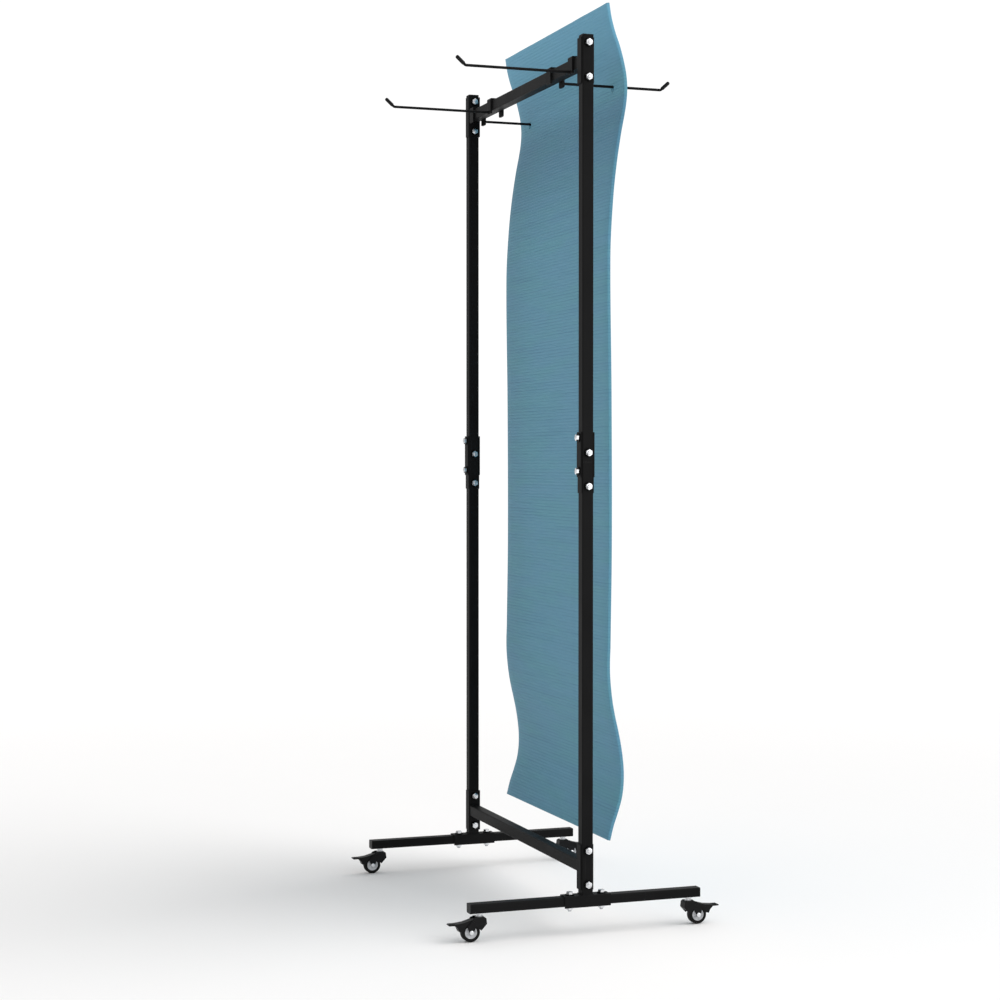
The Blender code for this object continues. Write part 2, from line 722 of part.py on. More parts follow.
def cheek_outline():
    """From the nose over the crown and the pedal's pin, round the axle, and back to the nose."""
    along, down = FORK_NOSE_CHAMFER
    nose = [(-FORK_NOSE, FORK_TOP - FORK_NOSE_HEIGHT), (along - FORK_NOSE, FORK_TOP - down)]
    crown = [(-FORK_CROWN_FRONT, FORK_TOP), (FORK_CROWN_REAR, FORK_TOP)]
    pin_y, pin_z = pedal_pivot()
    knuckle = arc((pin_y, pin_z), PEDAL_KNUCKLE_RADIUS * 1.6, 60, 0, 3)
    rear = [(CASTER_TRAIL + WHEEL_RADIUS * 0.45, AXLE_Z + WHEEL_RADIUS * 0.62)]
    boss = arc((CASTER_TRAIL, AXLE_Z), AXLE_RADIUS + FORK_AXLE_MARGIN, 20, -190, 10)
    ear_z = AXLE_Z + FORK_EAR_ABOVE_AXLE
    throat = [(CASTER_TRAIL / 2, ear_z), (-FORK_THROAT, AXLE_Z + FORK_THROAT_ABOVE_AXLE)]
    ear = [(FORK_JAW - FORK_NOSE, ear_z)]
    return nose + crown + knuckle + rear + boss + throat + ear


def fork(name, parent):
    """Two cheeks joined by a hood over the front of the wheel, with the axle riveted in."""
    outer = CHEEK_INNER + FORK_WALL
    axle = (CASTER_TRAIL, AXLE_Z)
    obj = part(name, plate_mesh(cheek_outline(), outer), BLACK_PLASTIC, parent=parent)
    clear = WHEEL_RADIUS + PEDAL_CLEARANCE
    low = FORK_TOP - FORK_BOSS_DEPTH
    rear = clear + CASTER_TRAIL
    above = FORK_TOP + GAP
    below = low - 2 * clear
    well = [(rear, below), (rear, above), (FORK_CROWN_REAR + GAP, above)]
    well += [(PIN_BOSS_REAR, low), (-PIN_BOSS_RADIUS, low), (-PIN_BOSS_RADIUS, below)]
    cut_shape(obj, plate_mesh(well, CHEEK_INNER))
    cut_shape(obj, rods_mesh([((0, 0, low - GAP), (0, 0, FORK_TOP + GAP), KING_PIN_RADIUS + RUNNING_GAP)]))
    y, z = pedal_pivot()
    cut_shape(obj, rods_mesh([((-2 * outer, y, z), (2 * outer, y, z), PEDAL_PIN_RADIUS + RUNNING_GAP)]))
    pin_end = outer + AXLE_HEAD / 2
    add_shape(obj, rods_mesh([((-pin_end, *axle), (pin_end, *axle), AXLE_RADIUS)], 24))
    head_in, head_out = outer - AXLE_HEAD, outer + AXLE_HEAD
    heads = [((s * head_in, *axle), (s * head_out, *axle), AXLE_HEAD_RADIUS) for s in (-1, 1)]
    add_shape(obj, rods_mesh(heads, 24))
    smooth(obj)
    return obj


def wheel(name, parent):
    """A soft tyre on a plastic hub, turned about the axle. A flat of the tyre faces the floor."""
    half = WHEEL_WIDTH / 2
    hub = WHEEL_RADIUS - TYRE_DEPTH
    shoulder = TYRE_SHOULDER
    bore = AXLE_RADIUS + RUNNING_GAP
    boss = AXLE_HEAD_RADIUS + HUB_BOSS_MARGIN
    side = [
        (boss, half),
        (boss + HUB_BOSS_MARGIN, half - HUB_RECESS),
        (hub, half - HUB_RECESS),
        (WHEEL_RADIUS - shoulder, half),
        (WHEEL_RADIUS - shoulder * 0.3, half - shoulder * 0.3),
        (WHEEL_RADIUS, half - shoulder),
    ]
    profile = side + [(r, -z) for r, z in reversed(side)] + [(bore, -half), (bore, half)]
    turn = Matrix.Rotation(math.pi / 2, 3, "Y") @ Matrix.Rotation(math.pi / WHEEL_SIDES, 3, "Z")
    at = (0, CASTER_TRAIL, AXLE_Z)
    obj = turned(name, profile, TYRE, WHEEL_SIDES, closed=True, at=at, parent=parent, turn=turn.to_euler())
    smooth(obj)
    return obj


def pedal_outline():
    """The lever from its pivot to its tip, then back along an arc that clears the tyre."""
    y, z = pedal_pivot()
    rear = CASTER_TRAIL + WHEEL_RADIUS
    over = AXLE_Z + WHEEL_RADIUS
    tip = rear + PEDAL_PAST_TYRE
    tip_z = over - PEDAL_TIP_DROP
    root = tip - PEDAL_LEVER_LENGTH
    knuckle = arc((y, z), PEDAL_KNUCKLE_RADIUS, 200, 80, 6)
    half = PEDAL_LEVER_THICKNESS / 2
    point = PEDAL_TIP_HALF
    back = [(rear - PEDAL_LEVER_THICKNESS, over + point), (root, tip_z + half)]
    end = [(tip - point, tip_z + point), (tip, tip_z), (tip - point, tip_z - point)]
    under = [(root, tip_z - half), (rear + PEDAL_WEB, over - WHEEL_RADIUS / 2)]
    heel = [(rear + PEDAL_WEB - PEDAL_LEVER_THICKNESS, AXLE_Z + PEDAL_LEVER_THICKNESS)]
    pad = arc((CASTER_TRAIL, AXLE_Z), WHEEL_RADIUS + PEDAL_CLEARANCE, 6, 100, 8)
    outline = knuckle + back + end + under + heel + pad
    return [(py - y, pz - z) for py, pz in outline]


def pedal(name, parent):
    """The brake lever, hung on its own pin between the cheeks. Its origin is on that pin."""
    y, z = pedal_pivot()
    half = CHEEK_INNER - GAP
    obj = part(name, plate_mesh(pedal_outline(), half), BLACK_PLASTIC, at=(0, y, z), parent=parent)
    reach = CHEEK_INNER + FORK_WALL
    add_shape(obj, rods_mesh([((-reach, 0, 0), (reach, 0, 0), PEDAL_PIN_RADIUS)]))
    smooth(obj)
    return obj


def caster(name, x, side):
    """A braked swivel caster under one end of a foot bar, trailing away from the middle of the rack."""
    turn = (0.0, 0.0, 0.0 if side > 0 else math.pi)
    swivel = joint_empty(f"{name}_swivel_axis", (x, side * STEM_Y, 0), turn=turn)
    caster_stem(f"{name}_stem", swivel)
    fork(f"{name}_fork", swivel)
    wheel(f"{name}_wheel", swivel)
    pedal(f"{name}_brake_pedal", swivel)


# Assembly


def build_bolts():
    outer = POST_X + TUBE / 2
    crossing = bolt_mesh(TUBE + GAP + CHANNEL_WALL)
    for bar, bar_z in (("top", TOP_BAR_Z), ("bottom", BOTTOM_BAR_Z)):
        for end, side in (("near", 1), ("far", -1)):
            for level, up in (("upper", 1), ("lower", -1)):
                at = (side * outer, 0, bar_z + up * BOLT_SPREAD)
                bolt(f"{bar}_crossbar_bolt_{end}_{level}", crossing, at, -side * X)
    sleeve = GAP + SLEEVE_WALL
    along_y = bolt_mesh(TUBE + 2 * (sleeve + DOUBLER_WALL), nut=False)
    through_web = bolt_mesh(TUBE + sleeve)
    foot = bolt_mesh(FOOT_TUBE_HEIGHT + GAP + CHANNEL_WALL)
    for end, side in (("near", 1), ("far", -1)):
        x = side * POST_X
        for level, up in (("upper", 1), ("lower", -1)):
            y_up, x_up = (SPLICE_BOLT_FAR, SPLICE_BOLT_NEAR)[::up]
            y_face = TUBE / 2 + sleeve + DOUBLER_WALL
            bolt(f"splice_cross_bolt_{end}_{level}", along_y, (x, y_face, SPLICE_HEIGHT + up * y_up), -Y)
            through_at = (x + TUBE / 2, 0, SPLICE_HEIGHT + up * x_up)
            bolt(f"splice_bolt_{end}_{level}", through_web, through_at, -X)
        for place_name, y in (("front", -BOLT_SPREAD), ("back", BOLT_SPREAD)):
            bolt(f"foot_bolt_{end}_{place_name}", foot, (x, y, FOOT_UNDERSIDE), Z)


def build_frame():
    for end, side in (("near", 1), ("far", -1)):
        x = side * POST_X
        upper_post(f"post_upper_{end}", x)
        lower_post(f"post_lower_{end}", x)
        splice_sleeve(f"splice_sleeve_{end}", x)
        splice_insert(f"splice_insert_{end}", x)
        plug(f"post_plug_{end}", TUBE / 2, TUBE / 2, POST_PLUG_DEPTH, (x, 0, POST_TOP))
        foot_bar(f"foot_bar_{end}", x)
        for place_name, along in (("front", -1), ("back", 1)):
            at = (x, along * FOOT_LENGTH / 2, (FOOT_UNDERSIDE + FOOT_TOP) / 2)
            turn = (-along * math.pi / 2, 0, 0)
            plug(f"foot_plug_{end}_{place_name}", TUBE / 2, FOOT_TUBE_HEIGHT / 2, FOOT_PLUG_DEPTH, at, turn)
            caster(f"caster_{end}_{place_name}", x, along)
    crossbar("crossbar_top", TOP_BAR_Z)
    crossbar("crossbar_bottom", BOTTOM_BAR_Z)


def build_hooks_and_sheet():
    for end, side in (("near", 1), ("far", -1)):
        hook(f"hook_front_{end}", FRONT_PAIR_CENTRE + side * HOOK_PAIR / 2, -1)
        hook(f"hook_back_{end}", BACK_PAIR_CENTRE + side * HOOK_PAIR / 2, 1)
    hanging_sheet("hanging_sheet", None)


clear_scene()
PARTS = collection("hanging_rack")
HELPERS = collection("boolean_helpers")
HELPERS.hide_render = True
BLACK_PAINT = material("black_powder_coat", (0.018, 0.018, 0.019), 0.42, 0.0)
BLACK_PLASTIC = material("black_plastic", (0.015, 0.015, 0.016), 0.50, 0.0)
BARE_STEEL = material("bare_steel", (0.45, 0.45, 0.46), 0.40, 1.0)
ZINC = material("bright_zinc", (0.75, 0.76, 0.78), 0.25, 1.0)
TYRE = material("tyre_rubber", (0.02, 0.02, 0.02), 0.75, 0.0)
FOAM = material("blue_foam", (0.13, 0.26, 0.33), 0.85, 0.0)

build_frame()
build_bolts()
build_hooks_and_sheet()
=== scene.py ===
"""Finish of a wheeled hanging rack: ribbed foam sheet, hardware, casters, welds, paint and a plain studio.

Everything is in metres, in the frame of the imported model.
"""

import math

import bmesh
import bpy
from bpy.props import FloatProperty, FloatVectorProperty, IntProperty, PointerProperty
from bpy.types import Operator, Panel, PropertyGroup
from mathutils import Matrix, Vector, noise


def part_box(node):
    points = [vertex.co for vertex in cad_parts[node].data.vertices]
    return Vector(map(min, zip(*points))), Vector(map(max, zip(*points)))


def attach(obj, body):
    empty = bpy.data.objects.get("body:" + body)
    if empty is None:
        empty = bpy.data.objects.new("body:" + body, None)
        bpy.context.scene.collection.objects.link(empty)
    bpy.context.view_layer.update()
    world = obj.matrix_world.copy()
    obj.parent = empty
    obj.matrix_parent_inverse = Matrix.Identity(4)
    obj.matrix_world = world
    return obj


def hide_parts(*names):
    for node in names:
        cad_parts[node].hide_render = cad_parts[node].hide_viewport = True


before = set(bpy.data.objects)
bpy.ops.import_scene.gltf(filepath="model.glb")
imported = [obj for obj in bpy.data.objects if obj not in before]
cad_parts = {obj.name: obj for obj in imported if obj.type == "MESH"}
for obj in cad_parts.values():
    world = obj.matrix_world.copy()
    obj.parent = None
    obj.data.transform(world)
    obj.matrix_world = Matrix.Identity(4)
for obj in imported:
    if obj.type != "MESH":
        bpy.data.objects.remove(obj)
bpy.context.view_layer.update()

bl_info = {
    "name": "Wheeled hanging rack",
    "version": (1, 0, 0),
    "blender": (4, 5, 0),
    "location": "View3D > Sidebar > Rack",
    "description": "Foam sheet, hardware, casters and finishes for a wheeled hanging rack",
    "category": "Object",
}

X, Y, Z = Vector((1, 0, 0)), Vector((0, 1, 0)), Vector((0, 0, 1))
CORNERS = [(end, side) for end in ("near", "far") for side in ("front", "back")]

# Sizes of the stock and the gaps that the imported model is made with
FIT_GAP = 0.0003
HALF_TUBE = 0.0125
SADDLE_WALL = 0.002
STRAP = 0.004
WIRE_RADIUS = 0.003
ARM_REACH = 0.250
ARM_BEND = 0.006
ARM_TIP = 0.023
TIP_TURN = math.radians(42)
SHEET_THICKNESS = 0.008
SHEET_HOLE_RADIUS = 0.0075
TYRE_DEPTH = 0.0065
PEDAL_CLEARANCE = 0.0035
BOLT_RADIUS = 0.004
BOLT_TIP = 0.004
HEX_FLATS = 0.013
NUT_HEIGHT = 0.0065
HEAD_HEIGHT = 0.0053
WASHER_RADIUS = 0.0095
WASHER_HEIGHT = 0.0016

# Sizes of the finer pieces
LINE_SAMPLE = 0.03
CURVE_STEPS = 20
SHEET_EDGE = 0.002
WASHER_CHAMFER = 0.0004
WASHER_PLAY = 0.0002
HUB_RIBS = 5
HUB_BOSS = 0.0058
HUB_RIM = 0.0018
HUB_RIB_WALL = 0.0013
FLANK_GAP = 0.0002
FLANK_WALL = 0.00025
FLANK_ABOVE = 0.0008
FLANK_BELOW = 0.0015
FLANK_MIDDLE = 50
FLANK_SPREAD = 80
GRIP_RIBS = 4
GRIP_START = 0.003
GRIP_PITCH = 0.0032
GRIP_RADIUS = 0.0008
GRIP_LENGTH = 0.0155
GRIP_ROUND = 0.0003
RIPPLE_SAMPLES = 4
FLOOR_SIZE = 60.0
FLOOR_DROP = 0.0005
SEEN_BACKDROP = 1.05


# Sizes and colours


class SheetSettings(PropertyGroup):
    rib_pitch: FloatProperty(
        name="Rib pitch",
        description="From one groove to the next",
        default=0.0073,
        min=0.004,
        max=0.02,
        unit="LENGTH",
    )
    groove_depth: FloatProperty(
        name="Groove depth",
        description="Depth of the grooves between ribs",
        default=0.0006,
        min=0.0,
        unit="LENGTH",
    )
    groove_width: FloatProperty(
        name="Groove width",
        description="Width of each groove",
        default=0.0018,
        min=0.0005,
        unit="LENGTH",
    )
    edge_round: FloatProperty(
        name="Edge rounding",
        description="Radius of the cut edges",
        default=0.0012,
        min=0.0,
        unit="LENGTH",
    )
    columns: IntProperty(
        name="Columns", description="Faces across the width of the sheet", default=20, min=4, max=40
    )
    colour: FloatVectorProperty(
        name="Foam",
        description="Colour of the foam's face",
        subtype="COLOR",
        size=3,
        default=(0.106, 0.284, 0.405),
    )
    # Painted shade: the colour of the shade down in the grooves; it also colours the dark streaks and the
    # painted crossbar shadow.
    groove_shade_and_streak_colour: FloatVectorProperty(
        name="Grooves",
        description="Colour down in the grooves",
        subtype="COLOR",
        size=3,
        default=(0.064, 0.190, 0.298),
    )


class HardwareSettings(PropertyGroup):
    chamfer: FloatProperty(
        name="Chamfer",
        description="Chamfer of the hexagons' corners",
        default=0.0009,
        min=0.0,
        unit="LENGTH",
    )
    thread_pitch: FloatProperty(
        name="Thread pitch",
        description="Distance between threads",
        default=0.00125,
        min=0.0005,
        unit="LENGTH",
    )
    thread_depth: FloatProperty(
        name="Thread depth",
        description="Depth of the threads",
        default=0.0006,
        min=0.0001,
        unit="LENGTH",
    )
    zinc: FloatVectorProperty(
        name="Zinc",
        description="Colour of the zinc plating",
        subtype="COLOR",
        size=3,
        default=(0.74, 0.75, 0.77),
    )


class CasterSettings(PropertyGroup):
    tread_round: FloatProperty(
        name="Tread rounding",
        description="Radius of the tyre's shoulders",
        default=0.0028,
        min=0.0005,
        unit="LENGTH",
    )
    hub_gap: FloatProperty(
        name="Hub groove",
        description="Width of the groove between the hub and the tyre",
        default=0.0004,
        unit="LENGTH",
    )
    tyre: FloatVectorProperty(
        name="Tyre",
        description="Colour of the tyre",
        subtype="COLOR",
        size=3,
        default=(0.006, 0.006, 0.006),
    )
    hub: FloatVectorProperty(
        name="Hub",
        description="Colour of the hub",
        subtype="COLOR",
        size=3,
        default=(0.52, 0.53, 0.55),
    )


class FrameSettings(PropertyGroup):
    weld_radius: FloatProperty(
        name="Weld",
        description="Half width of the weld beads",
        default=0.0016,
        min=0.0005,
        unit="LENGTH",
    )
    weld_step: FloatProperty(
        name="Weld step",
        description="Distance between ripples of a weld",
        default=0.0024,
        min=0.001,
        unit="LENGTH",
    )
    tip_length: FloatProperty(
        name="Tip cover",
        description="Length of the dipped cover on each hook's tip",
        default=0.021,
        unit="LENGTH",
    )
    tip_wall: FloatProperty(
        name="Tip wall",
        description="Thickness of the dipped cover",
        default=0.0011,
        min=0.0003,
        unit="LENGTH",
    )
    paint: FloatVectorProperty(
        name="Powder coat",
        description="Colour of the powder coat",
        subtype="COLOR",
        size=3,
        default=(0.0082, 0.0082, 0.0084),
    )
    plastic: FloatVectorProperty(
        name="Plastic",
        description="Colour of the black plastic",
        subtype="COLOR",
        size=3,
        default=(0.0060, 0.0060, 0.0065),
    )


class StageSettings(PropertyGroup):
    lens: FloatProperty(
        name="Lens",
        description="Focal length of the camera in millimetres",
        default=73.55,
        min=20.0,
    )
    camera_at: FloatVectorProperty(
        name="Camera",
        description="Place of the camera",
        subtype="TRANSLATION",
        unit="LENGTH",
        default=(4.385, -1.593, 0.996),
    )
    looks_along: FloatVectorProperty(
        name="View direction",
        description="Direction of the camera's view",
        subtype="DIRECTION",
        default=(-0.94380, 0.32992, -0.01870),
    )
    floor: FloatVectorProperty(
        name="Floor",
        description="Colour of the floor",
        subtype="COLOR",
        size=3,
        default=(0.900, 0.893, 0.888),
    )
    backdrop: FloatProperty(
        name="Backdrop", description="Light from the white surroundings", default=0.72, min=0.0
    )
    sun_power: FloatProperty(
        name="Sun",
        description="Strength of the broad light",
        default=1.68,
        min=0.0,
    )
    sun_angle: FloatProperty(
        name="Sun spread",
        description="How broad the light is",
        subtype="ANGLE",
        default=math.radians(55),
    )
    sun_from: FloatVectorProperty(
        name="Sun direction",
        description="Where the light comes from",
        subtype="DIRECTION",
        default=(0.33, 0.944, 1.0),
    )


# Material nodes


class Value:
    """A socket of a material's nodes. Arithmetic on it adds Math nodes."""

    def __init__(self, tree, socket=None):
        self.tree = tree
        self.socket = socket

    def node(self, kind, settings=None, output=0, **inputs):
        """Adds a node, sets it up, then feeds the sockets named, or numbered as in_0."""
        made = self.tree.nodes.new(kind)
        for key, setting in (settings or {}).items():
            setattr(made, key, setting)
        for key, value in inputs.items():
            socket = made.inputs[int(key[3:])] if key.startswith("in_") else made.inputs[key]
            if isinstance(value, Value):
                self.tree.links.new(value.socket, socket)
            else:
                socket.default_value = value
        return Value(self.tree, made.outputs[output])

    def maths(self, operation, first, second=0.0, clamp=False):
        settings = {"operation": operation, "use_clamp": clamp}
        return self.node("ShaderNodeMath", settings, in_0=first, in_1=second)

    def __add__(self, other):
        return self.maths("ADD", self, other)

    def __sub__(self, other):
        return self.maths("SUBTRACT", self, other)

    def __rsub__(self, other):
        return self.maths("SUBTRACT", other, self)

    def __mul__(self, other):
        return self.maths("MULTIPLY", self, other)

    __radd__ = __add__
    __rmul__ = __mul__

    def clamped(self):
        return self.maths("ADD", self, 0.0, clamp=True)

    def between(self, low, high):
        """0 at low, 1 at high, smooth in between."""
        ends = {"From Min": low, "From Max": high}
        return self.node("ShaderNodeMapRange", {"interpolation_type": "SMOOTHSTEP"}, Value=self, **ends)

    def mixed(self, first, second):
        """A colour from first to second, as this value goes from 0 to 1."""
        return self.node("ShaderNodeMix", {"data_type": "RGBA"}, output=2, in_0=self, in_6=first, in_7=second)


def rgba(colour, gain=1.0):
    return (*(channel * gain for channel in colour), 1.0)


def noise_value(at, scale, detail=2.0, roughness=0.5):
    return at.node("ShaderNodeTexNoise", {}, Vector=at, Scale=scale, Detail=detail, Roughness=roughness)


def mapped(at, scale):
    return at.node("ShaderNodeMapping", {}, Vector=at, Scale=scale)


def bump(height, strength, distance, normal=None):
    feed = {"Height": height, "Strength": strength, "Distance": distance}
    if normal is not None:
        feed["Normal"] = normal
    return height.node("ShaderNodeBump", {}, **feed)


def new_material(name, **constants):
    """(material, shader, object coordinates). The constants go on the shader's own sockets."""
    made = bpy.data.materials.new(name)
    made.use_nodes = True
    tree = made.node_tree
    shader = tree.nodes["Principled BSDF"]
    for key, value in constants.items():
        shader.inputs[key.replace("_", " ")].default_value = value
    place = Value(tree).node("ShaderNodeTexCoord", {}, output=3)
    return made, shader, place


def feed(shader, **values):
    tree = shader.id_data
    for key, value in values.items():
        tree.links.new(value.socket, shader.inputs[key.replace("_", " ")])


def powder_coat(name, colour):
    """Satin black powder coat: fine orange peel, uneven gloss, a little dust and a few rub marks."""
    made, shader, place = new_material(name, Specular_IOR_Level=0.04)
    peel = noise_value(place, 620.0, 3.0, 0.55)
    soft = noise_value(place, 95.0, 2.0)
    cloud = noise_value(place, 7.0, 3.0)
    rub = noise_value(mapped(place, (260, 260, 9)), 1.0, 4.0, 0.6).between(0.63, 0.72)
    grain = noise_value(place, 1500.0, 1.0).between(0.45, 0.75)
    base = cloud.between(0.3, 0.7).mixed(rgba(colour, 0.88), rgba(colour, 1.15))
    speckled = (grain * 0.2).mixed(base, rgba(colour, 2.0))
    worn = (rub * 0.3).mixed(speckled, rgba(colour, 2.8))
    rough = cloud.between(0.25, 0.75) * 0.08 + 0.40 - rub * 0.07
    normal = bump(peel, 0.22, 0.00025, bump(soft, 0.18, 0.0006))
    feed(shader, Base_Color=worn, Roughness=rough, Normal=normal)
    return made


def moulded_plastic(name, colour, rough=0.38):
    """Moulded plastic with a fine spark-eroded grain and faint flow marks."""
    made, shader, place = new_material(name, Specular_IOR_Level=0.12)
    grain = noise_value(place, 1500.0, 2.0)
    flow = noise_value(mapped(place, (40, 40, 140)), 1.0, 3.0, 0.6)
    scuff = noise_value(mapped(place, (900, 120, 300)), 1.0, 3.0, 0.6).between(0.64, 0.74)
    base = flow.between(0.3, 0.7).mixed(rgba(colour, 0.85), rgba(colour, 1.2))
    scuffed = (scuff * 0.3).mixed(base, rgba(colour, 3.0))
    feed(
        shader,
        Base_Color=scuffed,
        Roughness=flow.between(0.2, 0.8) * 0.10 + rough + scuff * 0.15,
        Normal=bump(grain, 0.25, 0.0002),
    )
    return made


def tyre_rubber(name, colour):
    """Dull rubber with moulding grain and a dusty, lighter tread."""
    made, shader, place = new_material(name, Specular_IOR_Level=0.12)
    grain = noise_value(place, 900.0, 4.0, 0.6)
    dust = noise_value(place, 130.0, 4.0, 0.65).between(0.5, 0.7)
    base = (dust * 0.4).mixed(rgba(colour), rgba(colour, 2.5))
    feed(shader, Base_Color=base, Roughness=dust * 0.12 + 0.62, Normal=bump(grain, 0.4, 0.0003))
    return made


def zinc_plate(name, colour):
    """Bright zinc plating: faint patches of tone, fine brushing and small dull spots."""
    made, shader, place = new_material(name, Metallic=1.0)
    brushed = noise_value(mapped(place, (2600, 2600, 500)), 1.0, 3.0, 0.6)
    spots = noise_value(place, 700.0, 3.0).between(0.56, 0.68)
    tint = noise_value(place, 160.0, 2.0).between(0.3, 0.7)
    base = tint.mixed(rgba(colour, 0.93), rgba(colour, 1.05))
    spotted = (spots * 0.4).mixed(base, rgba(colour, 0.62))
    feed(
        shader,
        Base_Color=spotted,
        Roughness=brushed * 0.10 + spots * 0.14 + 0.20,
        Normal=bump(brushed, 0.08, 0.0001),
    )
    return made


def foam_skin(name, settings, length, width):
    """Closed-cell foam: ribs with painted shade in the grooves, small cells, a painted lighter top and a
    painted shadow of the crossbar in a band under the hooks.
    """
    made, shader, place = new_material(name, Specular_IOR_Level=0.28, Sheen_Weight=0.08, Sheen_Roughness=0.5)
    flat = Value(made.node_tree).node("ShaderNodeUVMap", {"uv_map": "UVMap"})
    metres = mapped(flat, (width, length, 1.0))
    ribs = round(length / settings.rib_pitch)
    down = metres.node("ShaderNodeSeparateXYZ", {}, output=1, Vector=flat)
    count = down * float(ribs)
    offset = count.maths("FRACT", count) - 0.5
    groove = offset.maths("ABSOLUTE", offset).between(0.28, 0.47)
    streak = noise_value(mapped(metres, (5.0, 420.0, 1.0)), 1.0, 3.0, 0.6)
    patch = noise_value(mapped(metres, (3.5, 16.0, 1.0)), 1.0, 3.0, 0.55)
    band = noise_value(mapped(metres, (2.2, 48.0, 1.0)), 1.0, 3.0, 0.6)
    fibre = noise_value(mapped(metres, (14.0, 900.0, 1.0)), 1.0, 3.0, 0.65)
    cells = noise_value(place, 1300.0, 2.0, 0.6)
    red, green, blue = settings.colour
    greener = (red * 0.98, green * 1.05, blue * 0.94)
    warm = patch.between(0.35, 0.68).mixed(rgba(settings.colour), rgba(greener))
    # Painted shade: the grooves are coloured darker, standing in for the shade down in them; noise varies how
    # strong it is.
    depth = groove * (streak.between(0.35, 0.65) * 0.75 + 0.1) * (band.between(0.35, 0.65) * 0.6 + 0.45)
    groove_shaded = depth.clamped().mixed(warm, rgba(settings.groove_shade_and_streak_colour))
    dark = (fibre.between(0.48, 0.70) * 0.45 + band.between(0.50, 0.75) * 0.2).clamped()
    streaked = dark.mixed(groove_shaded, rgba(settings.groove_shade_and_streak_colour, 1.08))
    speckled = (cells.between(0.55, 0.8) * 0.12).mixed(streaked, rgba(settings.colour, 1.25))
    # Painted light: the top of the sheet is coloured lighter, standing in for the light it catches.
    below_top = (1.0 - down) * length
    painted_top_light_mask = (1.0 - below_top.between(0.04, 0.20)) * 0.65
    painted_top_light = painted_top_light_mask.mixed(speckled, rgba(settings.colour, 1.35))
    # Painted shadow: a darker band under the hooks stands in for the crossbar's soft shadow on the sheet.
    painted_crossbar_shadow_mask = below_top.between(0.17, 0.25) * (1.0 - below_top.between(0.28, 0.50)) * 0.45
    painted_crossbar_shadow = painted_crossbar_shadow_mask.mixed(painted_top_light, rgba(settings.groove_shade_and_streak_colour, 0.9))
    feed(
        shader,
        Base_Color=painted_crossbar_shadow,
        Roughness=patch * 0.10 + 0.66,
        Normal=bump(cells, 0.30, 0.0003, bump(streak, 0.35, 0.0006)),
    )
    return made


def floor_finish(name, colour):
    """A pale, faintly uneven floor, painted brighter in the distance as painted light, so that it fades into
    the white backdrop.
    """
    made, shader, place = new_material(name, Specular_IOR_Level=0.2)
    faint = noise_value(place, 2.0, 3.0)
    distance = place.node("ShaderNodeVectorMath", {"operation": "LENGTH"}, output=1, Vector=place)
    # Painted light: the colour rises with distance to stand in for light, hiding the seam with the backdrop.
    painted_far_light = distance.between(1.5, 6.0)
    near = faint.between(0.2, 0.8).mixed(rgba(colour, 0.995), rgba(colour, 1.0))
    feed(
        shader,
        Base_Color=painted_far_light.mixed(near, rgba(colour, 1.09)),
        Roughness=faint * 0.05 + 0.75,
    )
    return made


# Modelling helpers


def start_fresh():
    if bpy.context.mode != "OBJECT":
        bpy.ops.object.mode_set(mode="OBJECT")
    bpy.ops.object.select_all(action="DESELECT")


def make_active(obj):
    start_fresh()
    bpy.context.view_layer.objects.active = obj
    obj.select_set(True)
    return obj


def apply_modifiers(obj):
    make_active(obj)
    for modifier in list(obj.modifiers):
        bpy.ops.object.modifier_apply(modifier=modifier.name)


def edit(obj, mode="FACE"):
    """Opens the mesh with nothing selected, and returns its editing mesh."""
    make_active(obj)
    bpy.ops.object.mode_set(mode="EDIT")
    bpy.ops.mesh.select_mode(type=mode)
    bpy.ops.mesh.select_all(action="DESELECT")
    return bmesh.from_edit_mesh(obj.data)


def choose_edges(obj, bm, test):
    for edge in bm.edges:
        edge.select_set(bool(test(edge)))
    bmesh.update_edit_mesh(obj.data)


def close_edit(outwards=False):
    if outwards:
        bpy.ops.mesh.select_all(action="SELECT")
        bpy.ops.mesh.normals_make_consistent(inside=False)
    bpy.ops.object.mode_set(mode="OBJECT")


def settle(obj):
    """The place goes into the mesh, and the object stays at the origin."""
    make_active(obj)
    bpy.ops.object.transform_apply(location=True, rotation=True, scale=True)
    return obj


def smooth_by_angle(obj, degrees=35):
    make_active(obj)
    bpy.ops.object.shade_smooth_by_angle(angle=math.radians(degrees))


def finish(obj, name, body, slot, *looks):
    obj.name = name
    obj.data.name = name
    for look in looks:
        obj.data.materials.append(look)
    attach(obj, body)
    return obj


def combine(obj, operation, *tools):
    """Cuts the tools out of the piece, or keeps only what is inside them, and drops them."""
    for tool in tools:
        modifier = obj.modifiers.new("combine", "BOOLEAN")
        modifier.operation = operation
        modifier.solver = "EXACT"
        modifier.object = tool
    apply_modifiers(obj)
    for tool in tools:
        drop(tool)


def copy_of(pattern, matrix):
    """A copy of a modelled piece, with its own mesh, moved there in its mesh."""
    obj = pattern.copy()
    obj.data = pattern.data.copy()
    bpy.context.scene.collection.objects.link(obj)
    obj.data.transform(matrix)
    return obj


def drop(obj):
    mesh = obj.data
    bpy.data.objects.remove(obj, do_unlink=True)
    bpy.data.meshes.remove(mesh)


def frame_matrix(origin, along):
    """Local Z runs along the given direction from the origin."""
    return Matrix.Translation(origin) @ along.to_track_quat("Z", "Y").to_matrix().to_4x4()


# Foam sheet


